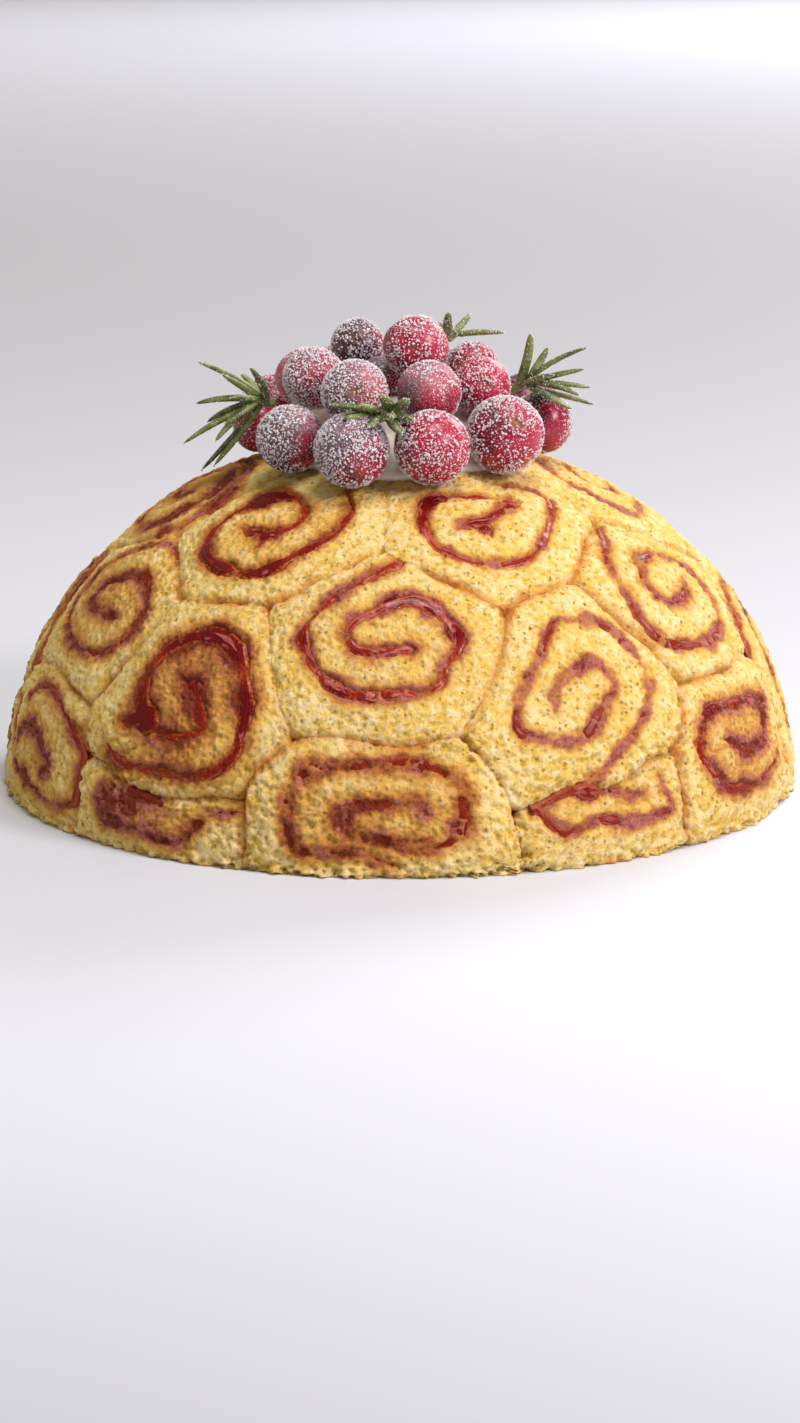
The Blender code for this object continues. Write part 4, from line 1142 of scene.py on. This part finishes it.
# Length profile of a needle: rises over its first fifth, tapers to a blunt point.
def needleTaper(part):
    return np.minimum(1, 0.55 + 2.2 * part) * np.sqrt(np.maximum(1 - part ** 3.2, 0.0)) + 0.02


# A profile carried along a bowed path: root + t (tip - root) + bow * 4 t (1 - t). The section
# is a flat lens with a groove along its top and its sides rolled under.
def carryNeedle(root, tip, bow, width, thickness, roundStem=False):
    part, sides = np.linspace(0, 1, needle["rings"]), needle["sides"]
    path = root + (tip - root) * part[:, None] + bow * (4 * part * (1 - part))[:, None]
    run = np.gradient(path, axis=0)
    run /= np.linalg.norm(run, axis=1)[:, None]
    guide = np.array([0.0, 0.0, 1.0]) if abs(run[0, 2]) < 0.85 else np.array([0.0, -1.0, 0.0])
    side = np.cross(guide, run)
    side /= np.linalg.norm(side, axis=1)[:, None]
    up = np.cross(run, side)
    turn = np.arange(sides) / sides * 2 * math.pi
    flat, high = np.cos(turn), np.sin(turn)
    groove = 0 if roundStem else 0.55 * np.exp(-(flat / 0.28) ** 2) * (high > 0)
    size = np.ones(len(part)) if roundStem else needleTaper(part)
    ring = (side[:, None, :] * (flat * width)[None, :, None]
            + up[:, None, :] * ((high - groove) * thickness)[None, :, None]) * size[:, None, None]
    points = (path[:, None, :] + ring).reshape(-1, 3)
    across = np.tile(np.where(high > 0.05, abs(flat), 1.0), len(part))
    faces = gridFaces(len(part), sides)
    tips = len(points) + np.arange(2)
    caps = np.concatenate([fan(tips[0], 0, sides, True),
                           fan(tips[1], len(points) - sides, sides)])
    return np.concatenate([points, path[[0, -1]]]), faces, caps, np.append(across, [1, 1])


needleSpots = []
for number, (name, (foot, crown, broad, tips)) in enumerate(sprigs.items()):
    foot, crown = np.array(foot), np.array(crown)
    draw = np.random.default_rng(900 + number)
    parts = [carryNeedle(foot, crown, np.zeros(3), needle["stem"], needle["stem"], True)]
    for order, tip in enumerate(tips):
        tip = np.array(tip, float)
        root = foot + (crown - foot) * (0.3 + 0.65 * order / len(tips))
        length = np.linalg.norm(tip - root)
        square = np.cross(tip - root, draw.normal(size=3))
        bow = square / np.linalg.norm(square) * needle["bow"] * length
        bow[2] = abs(bow[2])
        parts.append(carryNeedle(root, tip, bow * 0.6,
                                 needle["width"] * broad * draw.uniform(0.8, 1.1),
                                 needle["thickness"] * broad))
    shifts = np.cumsum([0] + [len(part[0]) for part in parts])
    points = np.concatenate([part[0] for part in parts])
    faces = [np.concatenate([part[k] + shift for part, shift in zip(parts, shifts)])
             for k in (1, 2)]
    putPiece(name + "_sprig", points, faces, finishes["rosemary"], [name],
             {"across": np.concatenate([part[3] for part in parts])})
    needleSpots.append(points[np.random.default_rng(3 + number).choice(len(points), 700)])

draw = np.random.default_rng(41)
spots = np.concatenate(needleSpots)
spots = spots + draw.normal(scale=0.08, size=spots.shape)
grains("sugar_on_rosemary", spots, draw.uniform(0.10, 0.24, len(spots)), draw)

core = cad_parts["filling_core"]
core.data.materials.clear()
core.data.materials.append(finishes["filling"])
print("rosemary laid")


# --- floor, light and camera ---

studio = {
    "aim": (0.0, 0.0, 16.0),     # what the camera looks at
    "away": 888.1,
    "pitch": 13.33,              # how far the camera looks down
    "lens": 86.02,
    "sideways": 0.0001,
    "floor": (0.61, 0.645, 0.735),
    "floorNear": (0.235, 0.245, 0.285),
    "fade": (-0.66, -0.08),      # where along Y, in metres, the near shade gives way
    "floorReach": 120.0,         # radius of the floor, in metres
    "sky": (0.89, 0.80, 0.63),
    "skyStrength": 0.485,
}
lamps = {
    # place, width, power and tone
    "key": ((760.0, -560.0, 640.0), 340.0, 8.7, (1.0, 0.895, 0.925)),
    "over": ((120.0, -260.0, 1000.0), 380.0, 5.6, (1.0, 0.985, 0.96)),
    "back": ((3200.0, 5600.0, 3400.0), 3000.0, 390.0, (1.0, 0.955, 0.99)),
}


def pointAt(obj, place, aim):
    away = np.array(aim, float) - np.array(place, float)
    obj.location = [p * mm for p in place]
    yaw = math.atan2(away[0], -away[1])
    obj.rotation_euler = (math.atan2(np.hypot(away[0], away[1]), -away[2]), 0, math.pi + yaw)


# The floor: one ring of corners on a wide circle, a little deeper in shade towards the front.
def layFloor():
    turn = np.arange(96) / 96 * 2 * math.pi
    mesh = bpy.data.meshes.new("floor")
    reach = studio["floorReach"]
    mesh.from_pydata([(reach * math.cos(a), reach * math.sin(a), -0.00005) for a in turn], [],
                     [tuple(range(len(turn)))])
    made = Finish("paleFloor")
    reach = made.add("SeparateXYZ", {0: made.where}).outputs["Y"]
    near = made.sums("ADD", made.remap(reach, *studio["fade"]), made.noise(900.0) * 0.1, True)
    base = made.tint(near, colour(*studio["floorNear"]), colour(*studio["floor"]))
    mesh.materials.append(made.done({"Base Color": base, "Roughness": 0.6}))
    floor = bpy.data.objects.new("floor", mesh)
    bpy.context.scene.collection.objects.link(floor)


layFloor()
for name, (place, width, power, tone) in lamps.items():
    light = bpy.data.lights.new(name, "AREA")
    light.size = width * mm
    light.energy = power
    light.color = tone
    lamp = bpy.data.objects.new(name, light)
    bpy.context.scene.collection.objects.link(lamp)
    pointAt(lamp, place, (2100.0, 5000.0, 0.0) if name == "back" else (0.0, 0.0, 40.0))

world = bpy.data.worlds.new("studio")
bpy.context.scene.world = world
world.use_nodes = True
world.node_tree.nodes["Background"].inputs[0].default_value = colour(*studio["sky"])
world.node_tree.nodes["Background"].inputs[1].default_value = studio["skyStrength"]
bpy.context.scene.view_settings.view_transform = "Standard"

camera = bpy.data.objects.new("camera", bpy.data.cameras.new("camera"))
bpy.context.scene.collection.objects.link(camera)
camera.data.lens = studio["lens"]
camera.data.shift_x = studio["sideways"]
camera.data.clip_end = 100.0
tip = math.radians(studio["pitch"])
pointAt(camera, (studio["aim"][0], studio["aim"][1] - studio["away"] * math.cos(tip),
                 studio["aim"][2] + studio["away"] * math.sin(tip)), studio["aim"])
bpy.context.scene.camera = camera

print("scene ready")
